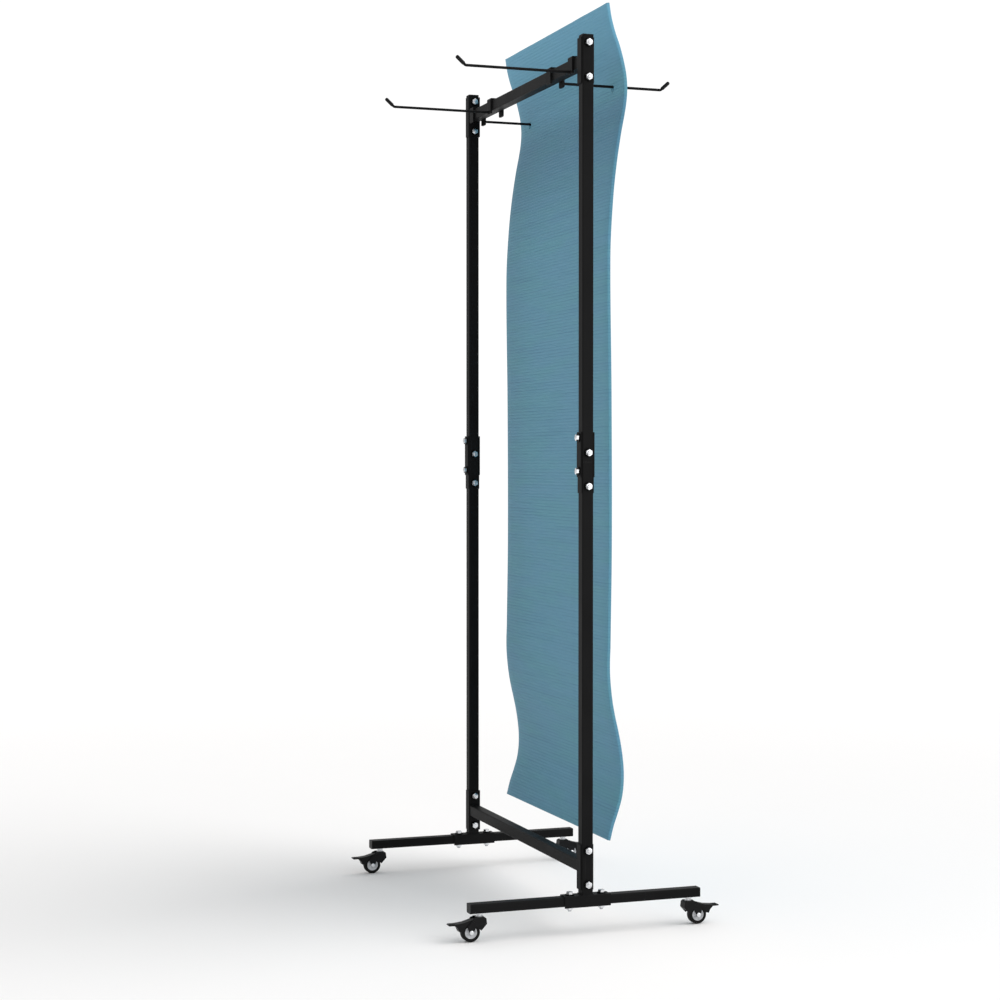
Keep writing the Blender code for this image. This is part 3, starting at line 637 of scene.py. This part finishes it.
def cad_middle_line(node):
    """Points (y, z) down the middle of the CAD sheet, found by looking through it from both sides."""
    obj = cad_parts[node]
    low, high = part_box(node)
    bpy.context.view_layer.update()
    x = (low.x + high.x) / 2
    steps = round((high.z - low.z) / LINE_SAMPLE)
    inset = SHEET_THICKNESS / 2
    line = []
    for i in range(steps + 1):
        z = high.z - inset - (high.z - low.z - 2 * inset) * i / steps
        hits = [
            obj.ray_cast(Vector((x, y, z)), direction)[1].y
            for y, direction in ((low.y - 0.1, Y), (high.y + 0.1, -Y))
        ]
        line.append(Vector((sum(hits) / 2, z)))
    for at, towards, edge in ((0, 1, high.z), (-1, -2, low.z)):
        slope = (line[at] - line[towards]).normalized()
        reach = (edge - line[at].y - math.copysign(abs(slope.x) * inset, slope.y)) / slope.y
        line.insert(0 if at == 0 else len(line), line[at] + slope * reach)
    return line


def even_steps(line, steps):
    """The smooth line through the points, in even steps along it."""
    fine = []
    last = len(line) - 1
    for i in range(last):
        before, start, end, after = (line[min(max(i + k, 0), last)] for k in (-1, 0, 1, 2))
        for j in range(CURVE_STEPS):
            t = j / CURVE_STEPS
            fine.append(
                0.5
                * (
                    2 * start
                    + (end - before) * t
                    + (2 * before - 5 * start + 4 * end - after) * t**2
                    + (3 * start - before - 3 * end + after) * t**3
                )
            )
    fine.append(line[-1])
    along = [0.0]
    for a, b in zip(fine, fine[1:]):
        along.append(along[-1] + (b - a).length)
    points = []
    at = 0
    for k in range(steps + 1):
        wanted = along[-1] * k / steps
        while at < len(along) - 2 and along[at + 1] < wanted:
            at += 1
        share = (wanted - along[at]) / (along[at + 1] - along[at])
        points.append(fine[at].lerp(fine[at + 1], share))
    return points, along[-1]


def arm_height():
    """Height of the middle of the hooks' straight arms."""
    low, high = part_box("crossbar_top")
    return (low.z + high.z) / 2 - HALF_TUBE - WIRE_RADIUS


def groove_ribs(obj, settings, ribs, low, high):
    """Presses the grooves into both faces, leaving the cut edges alone."""
    uvs = obj.data.uv_layers["UVMap"].data
    down = [0.0] * len(obj.data.vertices)
    for loop in obj.data.loops:
        down[loop.vertex_index] = uvs[loop.index].uv.y
    moved = []
    for vertex, normal in zip(obj.data.vertices, [v.normal.copy() for v in obj.data.vertices]):
        place = vertex.co.copy()
        if abs(normal.x) < 0.3 and low.x + SHEET_EDGE < place.x < high.x - SHEET_EDGE:
            wander = noise.noise(Vector((place.x * 2.5, down[vertex.index] * 160, 0.0)))
            phase = down[vertex.index] * ribs
            from_groove = (0.5 - abs(phase - math.floor(phase) - 0.5)) * settings.rib_pitch
            share = math.exp(-((from_groove / (settings.groove_width / 2)) ** 2))
            crown = 0.25 * math.cos(2 * math.pi * phase)
            place -= normal * (share * (0.8 + 0.4 * wander) + crown) * settings.groove_depth
        moved.extend(place)
    obj.data.vertices.foreach_set("co", moved)
    obj.data.update()


class RACK_OT_foam_sheet(Operator):
    """Model the hanging foam sheet, with its ribs and its two holes"""

    bl_idname = "rack.foam_sheet"
    bl_label = "Foam sheet"

    def execute(self, context):
        settings = context.scene.rack_sheet
        low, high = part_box("hanging_sheet")
        width = high.x - low.x
        line = cad_middle_line("hanging_sheet")
        rough_length = even_steps(line, 10)[1]
        rows = round(rough_length / settings.rib_pitch) * 6
        path, length = even_steps(line, rows)
        start_fresh()
        bpy.ops.mesh.primitive_grid_add(x_subdivisions=settings.columns, y_subdivisions=rows, size=1.0)
        sheet = bpy.context.active_object
        for vertex in sheet.data.vertices:
            y, z = path[round((0.5 - vertex.co.y) * rows)]
            vertex.co = (low.x + (vertex.co.x + 0.5) * width, y, z)
        thick = sheet.modifiers.new("thickness", "SOLIDIFY")
        thick.thickness = SHEET_THICKNESS
        thick.offset = 0.0
        thick.use_even_offset = True
        apply_modifiers(sheet)
        bm = edit(sheet, "EDGE")
        choose_edges(sheet, bm, lambda e: e.is_manifold and e.calc_face_angle() > math.radians(60))
        bpy.ops.mesh.bevel(offset=settings.edge_round, segments=3, affect="EDGES")
        close_edit(outwards=True)
        groove_ribs(sheet, settings, round(length / settings.rib_pitch), low, high)
        self.punch_holes(sheet)
        smooth_by_angle(sheet, 50)
        look = foam_skin("blue_foam", settings, length, width)
        finish(sheet, "foam_sheet", "sheet", "blue_foam", look)
        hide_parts("hanging_sheet")
        return {"FINISHED"}

    def punch_holes(self, sheet):
        """Round holes where the two arms pass through."""
        cutters = []
        sheet_low, sheet_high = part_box("hanging_sheet")
        height = arm_height() + WIRE_RADIUS + FIT_GAP - SHEET_HOLE_RADIUS
        for node in ("hook_back_near", "hook_back_far"):
            low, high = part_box(node)
            centre = ((low.x + high.x) / 2, (sheet_low.y + sheet_high.y) / 2, height)
            turn = (math.pi / 2, 0, 0)
            start_fresh()
            bpy.ops.mesh.primitive_cylinder_add(
                vertices=40, radius=SHEET_HOLE_RADIUS, depth=0.12, location=centre, rotation=turn
            )
            cutters.append(settle(bpy.context.active_object))
        combine(sheet, "DIFFERENCE", *cutters)


# Bolts


def turned_piece(name, profile, steps=28):
    """A profile of (radius, height) points, spun about Z. It runs up the outside, so the faces point out."""
    start_fresh()
    bpy.ops.mesh.primitive_circle_add(vertices=len(profile), radius=1.0)
    obj = bpy.context.active_object
    for vertex, (radius, height) in zip(obj.data.vertices, profile):
        vertex.co = (radius, 0.0, height)
    bm = edit(obj, "EDGE")
    for on_axis in [e for e in bm.edges if all(abs(v.co.x) < 1e-9 for v in e.verts)]:
        bm.edges.remove(on_axis)
    bmesh.update_edit_mesh(obj.data)
    bpy.ops.mesh.select_all(action="SELECT")
    bpy.ops.mesh.spin(steps=steps, angle=2 * math.pi, center=(0, 0, 0), axis=(0, 0, 1))
    bpy.ops.mesh.select_all(action="SELECT")
    bpy.ops.mesh.remove_doubles(threshold=1e-6)
    close_edit(outwards=True)
    obj.name = name
    return obj


def joined(*objects):
    start_fresh()
    for obj in objects:
        obj.select_set(True)
    bpy.context.view_layer.objects.active = objects[0]
    if len(objects) > 1:
        bpy.ops.object.join()
    return objects[0]


def hex_piece(low, high, bore, chamfer):
    """A hexagon turned down at its outer corners, with a bore if it is a nut."""
    radius = HEX_FLATS / 2 / math.cos(math.pi / 6)
    start_fresh()
    centre = (0, 0, (low + high) / 2)
    bpy.ops.mesh.primitive_cylinder_add(vertices=6, radius=radius, depth=high - low, location=centre)
    nut = settle(bpy.context.active_object)
    limit = turned_piece(
        "limit",
        [
            (0.0, low - 0.001),
            (radius - chamfer * 2.4, low - 0.001),
            (radius - chamfer * 1.2, low),
            (radius + 0.001, low + chamfer),
            (radius + 0.001, high - chamfer),
            (radius - chamfer * 1.2, high),
            (radius - chamfer * 2.4, high + 0.001),
            (0.0, high + 0.001),
        ],
        48,
    )
    combine(nut, "INTERSECT", limit)
    if bore:
        start_fresh()
        bpy.ops.mesh.primitive_cylinder_add(vertices=32, radius=bore, depth=4 * (high - low), location=centre)
        combine(nut, "DIFFERENCE", settle(bpy.context.active_object))
    return nut


def threaded_rod(high, settings):
    """A rod from 0 to high whose lower end is threaded and chamfered."""
    pitch = settings.thread_pitch
    root = BOLT_RADIUS - settings.thread_depth
    profile = [(0.0, 0.0), (root, 0.0)]
    z = pitch / 2
    while z + pitch < BOLT_TIP + NUT_HEIGHT - 0.001:
        profile += [(BOLT_RADIUS, z + pitch * 0.25), (BOLT_RADIUS, z + pitch * 0.35), (root, z + pitch * 0.8)]
        z += pitch
    profile += [(BOLT_RADIUS, z + pitch / 2), (BOLT_RADIUS, high), (0.0, high)]
    return turned_piece("rod", profile, 24)


class RACK_OT_bolts(Operator):
    """Model the bolts with their hexagon heads, washers, nuts and threads"""

    bl_idname = "rack.bolts"
    bl_label = "Bolts"

    def execute(self, context):
        settings = context.scene.rack_hardware
        steel = zinc_plate("bright_zinc", settings.zinc)
        dark = powder_coat("black_washer", (0.002, 0.002, 0.002))
        patterns = {}
        for node in [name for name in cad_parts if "_bolt_" in name]:
            low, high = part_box(node)
            size = high - low
            axis = max((X, Y, Z), key=lambda a: abs(size.dot(a)))
            length = abs(size.dot(axis))
            has_nut = "splice_cross" not in node
            key = (round(length, 4), has_nut)
            if key not in patterns:
                patterns[key] = self.pattern(settings, length, has_nut, steel, dark)
            nut_up = self.nut_is_high(node)
            middle = (low + high) / 2
            origin = middle + axis * (length / 2 if nut_up else -length / 2)
            matrix = frame_matrix(origin, -axis if nut_up else axis)
            bolt = copy_of(patterns[key], matrix)
            finish(bolt, node + "_detail", "rack", "bright_zinc")
            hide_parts(node)
        for pattern in patterns.values():
            drop(pattern)
        return {"FINISHED"}

    def nut_is_high(self, node):
        """Whether the nut is at the end with the higher coordinate."""
        if node.startswith("foot"):
            return False
        return "splice" in node or "near" in node

    def pattern(self, settings, length, has_nut, steel, dark):
        """The bolt stands on Z from its threaded tip at 0 to the top of its head."""
        nut_top = BOLT_TIP + NUT_HEIGHT
        under_head = length - HEAD_HEIGHT
        rod = threaded_rod(under_head + HEAD_HEIGHT / 2, settings)
        hexes = [hex_piece(under_head, length, 0.0, settings.chamfer)]
        if has_nut:
            bore = BOLT_RADIUS - settings.thread_depth / 2
            hexes.append(hex_piece(BOLT_TIP, nut_top, bore, settings.chamfer))
        washers = []
        for low in (nut_top, under_head - WASHER_HEIGHT) if has_nut else (under_head - WASHER_HEIGHT,):
            high = low + WASHER_HEIGHT
            side = [(WASHER_RADIUS - WASHER_CHAMFER, low), (WASHER_RADIUS, low + WASHER_CHAMFER)]
            side += [(WASHER_RADIUS, high - WASHER_CHAMFER), (WASHER_RADIUS - WASHER_CHAMFER, high)]
            bore = BOLT_RADIUS + WASHER_PLAY
            washers.append(turned_piece("washer", [(bore, low), *side, (bore, high)], 40))
        for piece in (rod, *hexes):
            piece.data.materials.append(steel)
        for piece in washers:
            piece.data.materials.append(dark)
        bolt = joined(rod, *hexes, *washers)
        smooth_by_angle(bolt, 32)
        return bolt


# Casters


class RACK_OT_wheels(Operator):
    """Model each wheel's tyre and hub"""

    bl_idname = "rack.wheels"
    bl_label = "Caster wheels"

    def execute(self, context):
        settings = context.scene.rack_caster
        rubber = tyre_rubber("tyre_rubber", settings.tyre)
        hub_look = moulded_plastic("hub_plastic", settings.hub, 0.34)
        low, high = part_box("caster_near_front_wheel")
        radius = (high.y - low.y) / 2
        half = (high.x - low.x) / 2
        tyre = self.tyre(settings, radius, half)
        hub = self.hub(settings, radius, half)
        for end, side in CORNERS:
            node = f"caster_{end}_{side}_wheel"
            low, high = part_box(node)
            matrix = frame_matrix((low + high) / 2, X)
            ring = finish(copy_of(tyre, matrix), f"{node}_tyre", node, "caster_wheel", rubber)
            finish(copy_of(hub, matrix), f"{node}_hub", node, "caster_wheel", hub_look)
            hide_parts(node)
        drop(tyre)
        drop(hub)
        return {"FINISHED"}

    def tyre(self, settings, radius, half):
        inner = radius - TYRE_DEPTH
        r = settings.tread_round
        shoulder = [
            (radius - r + r * math.sin(a), half - r + r * math.cos(a))
            for a in (math.radians(degrees) for degrees in range(0, 91, 15))
        ]
        side = [(inner, half - 0.0016), (inner + 0.0005, half - 0.0004), (inner + 0.0013, half), *shoulder]
        profile = side + [(rr, -z) for rr, z in reversed(side)]
        wheel = turned_piece("tyre", profile, 64)
        smooth_by_angle(wheel, 40)
        return wheel

    def hub(self, settings, radius, half):
        outer = radius - TYRE_DEPTH - settings.hub_gap
        rim = outer - HUB_RIM
        boss = HUB_BOSS
        face = half - 0.0008
        web = half - 0.0028
        side = [
            (0.0032, half - 0.0003),
            (boss - 0.0004, half - 0.0003),
            (boss, half - 0.0007),
            (boss + 0.0003, web + 0.0003),
            (boss + 0.0008, web),
            (rim - 0.0008, web),
            (rim - 0.0003, web + 0.0004),
            (rim, face),
            (outer - 0.0003, face),
            (outer, face - 0.0004),
        ]
        profile = side + [(rr, -z) for rr, z in reversed(side)]
        hub = turned_piece("hub", profile, 60)
        pieces = [hub]
        for k in range(HUB_RIBS):
            start_fresh()
            bpy.ops.mesh.primitive_cube_add(size=1.0, location=((boss + rim) / 2, 0, 0))
            rib = bpy.context.active_object
            rib.scale = (rim - boss + 0.0004, HUB_RIB_WALL, 2 * (face - 0.0004))
            settle(rib)
            bm = edit(rib, "EDGE")
            choose_edges(rib, bm, lambda e: abs((e.verts[0].co - e.verts[1].co).normalized().x) > 0.9)
            bpy.ops.mesh.bevel(offset=0.0004, segments=2, affect="EDGES")
            close_edit()
            rib.data.transform(Matrix.Rotation(2 * math.pi * k / HUB_RIBS, 4, "Z"))
            pieces.append(rib)
        hub = joined(*pieces)
        smooth_by_angle(hub, 40)
        return hub


class RACK_OT_caster_trim(Operator):
    """Finish the casters: bright axle caps, grip ribs and flanks on the pedals"""

    bl_idname = "rack.caster_trim"
    bl_label = "Caster trim"

    def execute(self, context):
        steel = bpy.data.materials["bright_zinc"]
        plastic = moulded_plastic("pedal_ribs", context.scene.rack_frame.plastic, 0.42)
        cap = self.cap()
        for end, side in CORNERS:
            body = f"caster_{end}_{side}_fork"
            low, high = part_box(body)
            wheel_low, wheel_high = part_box(f"caster_{end}_{side}_wheel")
            centre = (wheel_low + wheel_high) / 2
            for number, way in enumerate((X, -X)):
                face = high.x if way.x > 0 else low.x
                at = Vector((face, centre.y, centre.z))
                finish(
                    copy_of(cap, frame_matrix(at, way)),
                    f"caster_{end}_{side}_axle_cap_{number + 1}",
                    body,
                    "bright_zinc",
                    steel,
                )
            self.grips(end, side, plastic)
            self.flanks(end, side, plastic)
        drop(cap)
        return {"FINISHED"}

    def cap(self):
        """A domed rivet head that covers the axle's end."""
        profile = [(0.0, -0.0009), (0.0047, -0.0009), (0.0049, -0.0004), (0.0046, 0.0003)]
        profile += [(0.0036, 0.0009), (0.002, 0.0012), (0.0016, 0.0008), (0.0, 0.0007)]
        cap = turned_piece("cap", profile, 32)
        smooth_by_angle(cap, 40)
        return cap

    def flanks(self, end, side, look):
        """Thin flanks under the pedal, one beside each edge of the tyre."""
        low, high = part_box(f"caster_{end}_{side}_wheel")
        axle = (low + high) / 2
        outward = 1 if side == "back" else -1
        radius = (high.y - low.y) / 2
        pieces = []
        for way in (-1, 1):
            start_fresh()
            bpy.ops.mesh.primitive_grid_add(x_subdivisions=16, y_subdivisions=1, size=1.0)
            flank = bpy.context.active_object
            for vertex in flank.data.vertices:
                turn = math.radians(FLANK_MIDDLE + FLANK_SPREAD * vertex.co.x)
                reach = radius + (PEDAL_CLEARANCE + FLANK_ABOVE if vertex.co.y > 0 else -FLANK_BELOW)
                vertex.co = (0.0, outward * reach * math.cos(turn), reach * math.sin(turn))
            flank.location = (way * ((high.x - low.x) / 2 + FLANK_GAP) + axle.x, axle.y, axle.z)
            settle(flank)
            wall = flank.modifiers.new("wall", "SOLIDIFY")
            wall.thickness = FLANK_WALL
            wall.offset = 0.0
            apply_modifiers(flank)
            edit(flank)
            close_edit(outwards=True)
            pieces.append(flank)
        flanks = joined(*pieces)
        smooth_by_angle(flanks, 40)
        body = f"caster_{end}_{side}_pedal"
        finish(flanks, f"caster_{end}_{side}_pedal_flanks", body, "black_plastic", look)

    def grips(self, end, side, look):
        """Low ribs across the toe of the pedal."""
        low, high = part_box(f"caster_{end}_{side}_brake_pedal")
        outward = 1 if side == "back" else -1
        tip = high.y if outward > 0 else low.y
        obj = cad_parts[f"caster_{end}_{side}_brake_pedal"]
        pieces = []
        for k in range(GRIP_RIBS):
            y = tip - outward * (GRIP_START + GRIP_PITCH * k)
            hit, point, _, _ = obj.ray_cast(Vector(((low.x + high.x) / 2, y, high.z + 0.02)), -Z)
            if not hit:
                raise RuntimeError(f"no pedal under the grip rib at {y:.4f}")
            start_fresh()
            turn = (0, math.pi / 2, 0)
            bpy.ops.mesh.primitive_cylinder_add(
                vertices=14, radius=GRIP_RADIUS, depth=GRIP_LENGTH, location=point, rotation=turn
            )
            rib = settle(bpy.context.active_object)
            bm = edit(rib, "EDGE")
            choose_edges(rib, bm, lambda e: abs(e.verts[0].co.x - e.verts[1].co.x) < 1e-6)
            bpy.ops.mesh.bevel(offset=GRIP_ROUND, segments=2, affect="EDGES")
            close_edit()
            pieces.append(rib)
        ribs = joined(*pieces)
        smooth_by_angle(ribs, 50)
        finish(ribs, f"caster_{end}_{side}_pedal_grips", f"caster_{end}_{side}_pedal", "black_plastic", look)


# Welds and hook tips


def weld_bead(points, radius, step):
    """A rippled bead round a closed line: a tube whose radius swells at every step."""
    start_fresh()
    samples = []
    for a, b in zip(points, points[1:] + points[:1]):
        count = max(1, round((b - a).length / (step / RIPPLE_SAMPLES)))
        samples += [a.lerp(b, k / count) for k in range(count)]
    curve = bpy.data.curves.new("bead", "CURVE")
    curve.dimensions = "3D"
    curve.bevel_depth = radius
    curve.bevel_resolution = 2
    spline = curve.splines.new("POLY")
    spline.points.add(len(samples) - 1)
    for k, (target, at) in enumerate(zip(spline.points, samples)):
        target.co = (*at, 1.0)
        ripple = 0.5 + 0.5 * math.cos(2 * math.pi * k / RIPPLE_SAMPLES)
        target.radius = 0.80 + 0.20 * ripple + 0.08 * noise.noise(at * 300)
    spline.use_cyclic_u = True
    obj = bpy.data.objects.new("bead", curve)
    bpy.context.scene.collection.objects.link(obj)
    make_active(obj)
    bpy.ops.object.convert(target="MESH")
    bead = bpy.context.active_object
    edit(bead)
    bpy.ops.mesh.select_all(action="SELECT")
    bpy.ops.mesh.remove_doubles(threshold=1e-6)
    close_edit(outwards=True)
    smooth_by_angle(bead, 60)
    return bead


def rectangle(centre, across, up, half_across, half_up):
    corners = ((-1, -1), (1, -1), (1, 1), (-1, 1))
    return [centre + across * (a * half_across) + up * (b * half_up) for a, b in corners]


class RACK_OT_welds(Operator):
    """Run a rippled weld round each joint of the frame"""

    bl_idname = "rack.welds"
    bl_label = "Weld beads"

    def execute(self, context):
        settings = context.scene.rack_frame
        look = powder_coat("painted_weld", settings.paint)
        for bar in ("top", "bottom"):
            low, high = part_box(f"crossbar_{bar}")
            middle = (low + high) / 2
            inner = self.web_back(f"crossbar_{bar}", middle)
            for end, side in (("near", 1), ("far", -1)):
                centre = Vector((side * inner, middle.y, middle.z))
                loop = rectangle(centre, Y, Z, HALF_TUBE, HALF_TUBE)
                bead = weld_bead(loop, settings.weld_radius, settings.weld_step)
                finish(bead, f"weld_crossbar_{bar}_{end}", "rack", "black_powder_coat", look)
        for end in ("near", "far"):
            foot_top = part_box(f"foot_bar_{end}")[1].z
            post_low, post_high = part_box(f"post_upper_{end}")
            middle = (post_low + post_high) / 2
            centre = Vector((middle.x, middle.y, foot_top + FIT_GAP + SADDLE_WALL))
            loop = rectangle(centre, X, Y, HALF_TUBE, HALF_TUBE)
            bead = weld_bead(loop, settings.weld_radius, settings.weld_step)
            finish(bead, f"weld_post_{end}", "rack", "black_powder_coat", look)
        return {"FINISHED"}

    def web_back(self, node, middle):
        """How far the tube runs before it meets the end channel's web."""
        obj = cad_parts[node]
        above = Vector((0.0, middle.y, middle.z + 0.02))
        hit, point, _, _ = obj.ray_cast(above, X)
        if not hit:
            raise RuntimeError(f"{node} has no end channel to weld to")
        return point.x


class RACK_OT_hook_trim(Operator):
    """Give each hook a dipped tip cover and a weld where its arm meets the strap"""

    bl_idname = "rack.hook_trim"
    bl_label = "Hook tips and welds"

    def execute(self, context):
        settings = context.scene.rack_frame
        dip = moulded_plastic("dipped_vinyl", settings.plastic, 0.30)
        weld = powder_coat("hook_weld", settings.paint)
        for face, way in (("front", -1), ("back", 1)):
            for end in ("near", "far"):
                node = f"hook_{face}_{end}"
                low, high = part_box(node)
                x = (low.x + high.x) / 2
                self.cover(settings, node, x, way, dip)
                self.arm_weld(settings, node, x, way, weld)
        return {"FINISHED"}

    def cover(self, settings, node, x, way, look):
        """A rounded sleeve over the raised end of the arm."""
        straight = ARM_REACH - ARM_BEND * math.tan(TIP_TURN / 2)
        bend_y = straight + ARM_BEND * math.sin(TIP_TURN)
        bend_z = arm_height() + ARM_BEND * (1 - math.cos(TIP_TURN))
        along = Vector((0, way * math.cos(TIP_TURN), math.sin(TIP_TURN)))
        tip = Vector((x, way * bend_y, bend_z)) + along * ARM_TIP
        outer = WIRE_RADIUS + settings.tip_wall
        bore = WIRE_RADIUS + 0.00005
        length = settings.tip_length
        profile = [(0.0, 0.0022), (outer * 0.55, 0.0018), (outer * 0.85, 0.0008), (outer, -0.0010)]
        profile += [(outer, 0.0016 - length), (outer - 0.0003, 0.0006 - length), (bore + 0.00005, -length)]
        profile += [(bore, 0.002 - length), (bore, 0.0002), (0.0, 0.0002)]
        cover = turned_piece("cover", profile, 28)
        smooth_by_angle(cover, 50)
        cover.data.transform(frame_matrix(tip, along))
        finish(cover, f"{node}_tip_cover", node, "black_plastic", look)

    def arm_weld(self, settings, node, x, way, look):
        """A small ring of weld at the root of the arm."""
        root = Vector((x, way * (HALF_TUBE + FIT_GAP + STRAP), arm_height()))
        ring = [
            root + Vector((math.cos(a), 0, math.sin(a))) * (WIRE_RADIUS + 0.0004)
            for a in (2 * math.pi * k / 24 for k in range(24))
        ]
        bead = weld_bead(ring, settings.weld_radius * 0.8, settings.weld_step)
        finish(bead, f"{node}_weld", node, "black_powder_coat", look)


# Finishes of the CAD parts


class RACK_OT_frame_finish(Operator):
    """Paint the frame, the hooks, the forks and the pedals"""

    bl_idname = "rack.frame_finish"
    bl_label = "Frame finishes"

    def execute(self, context):
        settings = context.scene.rack_frame
        looks = {
            "black_powder_coat": powder_coat("black_powder_coat", settings.paint),
            "black_plastic": moulded_plastic("black_plastic", settings.plastic),
            # Painted shade: the inserts show only through the thin splice gaps, so their steel is coloured
            # near black to stand in for the shade there.
            "bare_steel": zinc_plate("bare_steel", (0.06, 0.06, 0.06)),
            "bright_zinc": bpy.data.materials["bright_zinc"],
        }
        for name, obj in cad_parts.items():
            if obj.hide_render:
                continue
            for slot in obj.material_slots:
                slot.material = looks[self.look_of(name)]
        return {"FINISHED"}

    def look_of(self, node):
        """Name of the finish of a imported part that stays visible."""
        if "plug" in node or "fork" in node or "pedal" in node:
            return "black_plastic"
        # Inserts get the near-black steel, painted shade for the thin splice gaps.
        if "insert" in node:
            return "bare_steel"
        if "stem" in node:
            return "bright_zinc"
        return "black_powder_coat"


# Stage


class RACK_OT_stage(Operator):
    """Set up the pale floor, the soft lights and the camera"""

    bl_idname = "rack.stage"
    bl_label = "Stage"

    def execute(self, context):
        settings = context.scene.rack_stage
        self.floor(settings)
        self.world(context.scene, settings)
        self.sun("broad_sun", settings.sun_from, settings.sun_angle, settings.sun_power)
        self.light("soft_side", at=(3.6, 1.6, 1.6), target=(0, 0, 1.0), size=2.0, power=18.0)
        self.camera(context.scene, settings)
        context.scene.view_settings.view_transform = "Standard"
        return {"FINISHED"}

    def floor(self, settings):
        start_fresh()
        bpy.ops.mesh.primitive_plane_add(size=FLOOR_SIZE, location=(0, 0, -FLOOR_DROP))
        floor = settle(bpy.context.active_object)
        floor.name = "floor"
        floor.data.materials.append(floor_finish("pale_floor", settings.floor))

    def world(self, scene, settings):
        world = bpy.data.worlds.new("studio")
        scene.world = world
        world.use_nodes = True
        tree = Value(world.node_tree)
        seen = tree.node("ShaderNodeLightPath", {})
        strength = seen * (SEEN_BACKDROP - settings.backdrop) + settings.backdrop
        back = world.node_tree.nodes["Background"]
        back.inputs["Color"].default_value = (1, 1, 1, 1)
        world.node_tree.links.new(strength.socket, back.inputs["Strength"])

    def sun(self, name, direction, angle, power):
        data = bpy.data.lights.new(name, "SUN")
        data.energy = power
        data.angle = angle
        lamp = bpy.data.objects.new(name, data)
        lamp.rotation_euler = (-Vector(direction)).to_track_quat("-Z", "Y").to_euler()
        bpy.context.scene.collection.objects.link(lamp)

    def light(self, name, at, target, size, power):
        data = bpy.data.lights.new(name, "AREA")
        data.shape = "SQUARE"
        data.size = size
        data.energy = power
        lamp = bpy.data.objects.new(name, data)
        lamp.location = at
        lamp.rotation_euler = (Vector(target) - Vector(at)).to_track_quat("-Z", "Y").to_euler()
        bpy.context.scene.collection.objects.link(lamp)

    def camera(self, scene, settings):
        data = bpy.data.cameras.new("camera")
        data.lens = settings.lens
        data.sensor_width = 36.0
        data.clip_end = 200.0
        camera = bpy.data.objects.new("camera", data)
        camera.location = settings.camera_at
        camera.rotation_euler = Vector(settings.looks_along).to_track_quat("-Z", "Y").to_euler()
        scene.collection.objects.link(camera)
        scene.camera = camera


class RACK_PT_panel(Panel):
    """Lists the pieces of the rack"""

    bl_idname = "RACK_PT_panel"
    bl_label = "Rack"
    bl_space_type = "VIEW_3D"
    bl_region_type = "UI"
    bl_category = "Rack"

    def draw(self, context):
        layout = self.layout
        for operator in OPERATORS:
            layout.operator(operator.bl_idname)
        for name in SETTINGS:
            box = layout.box()
            group = getattr(context.scene, name)
            for key in group.__annotations__:
                box.prop(group, key)


SETTINGS = {
    "rack_stage": StageSettings,
    "rack_sheet": SheetSettings,
    "rack_hardware": HardwareSettings,
    "rack_caster": CasterSettings,
    "rack_frame": FrameSettings,
}
OPERATORS = [
    RACK_OT_stage,
    RACK_OT_foam_sheet,
    RACK_OT_bolts,
    RACK_OT_wheels,
    RACK_OT_caster_trim,
    RACK_OT_welds,
    RACK_OT_hook_trim,
    RACK_OT_frame_finish,
]
CLASSES = [*SETTINGS.values(), *OPERATORS, RACK_PT_panel]


def register():
    for cls in CLASSES:
        bpy.utils.register_class(cls)
    for name, group in SETTINGS.items():
        setattr(bpy.types.Scene, name, PointerProperty(type=group))


def unregister():
    for name in SETTINGS:
        delattr(bpy.types.Scene, name)
    for cls in reversed(CLASSES):
        bpy.utils.unregister_class(cls)


def main():
    register()
    for operator in OPERATORS:
        group, name = operator.bl_idname.split(".")
        getattr(getattr(bpy.ops, group), name)()


if __name__ == "__main__":
    main()
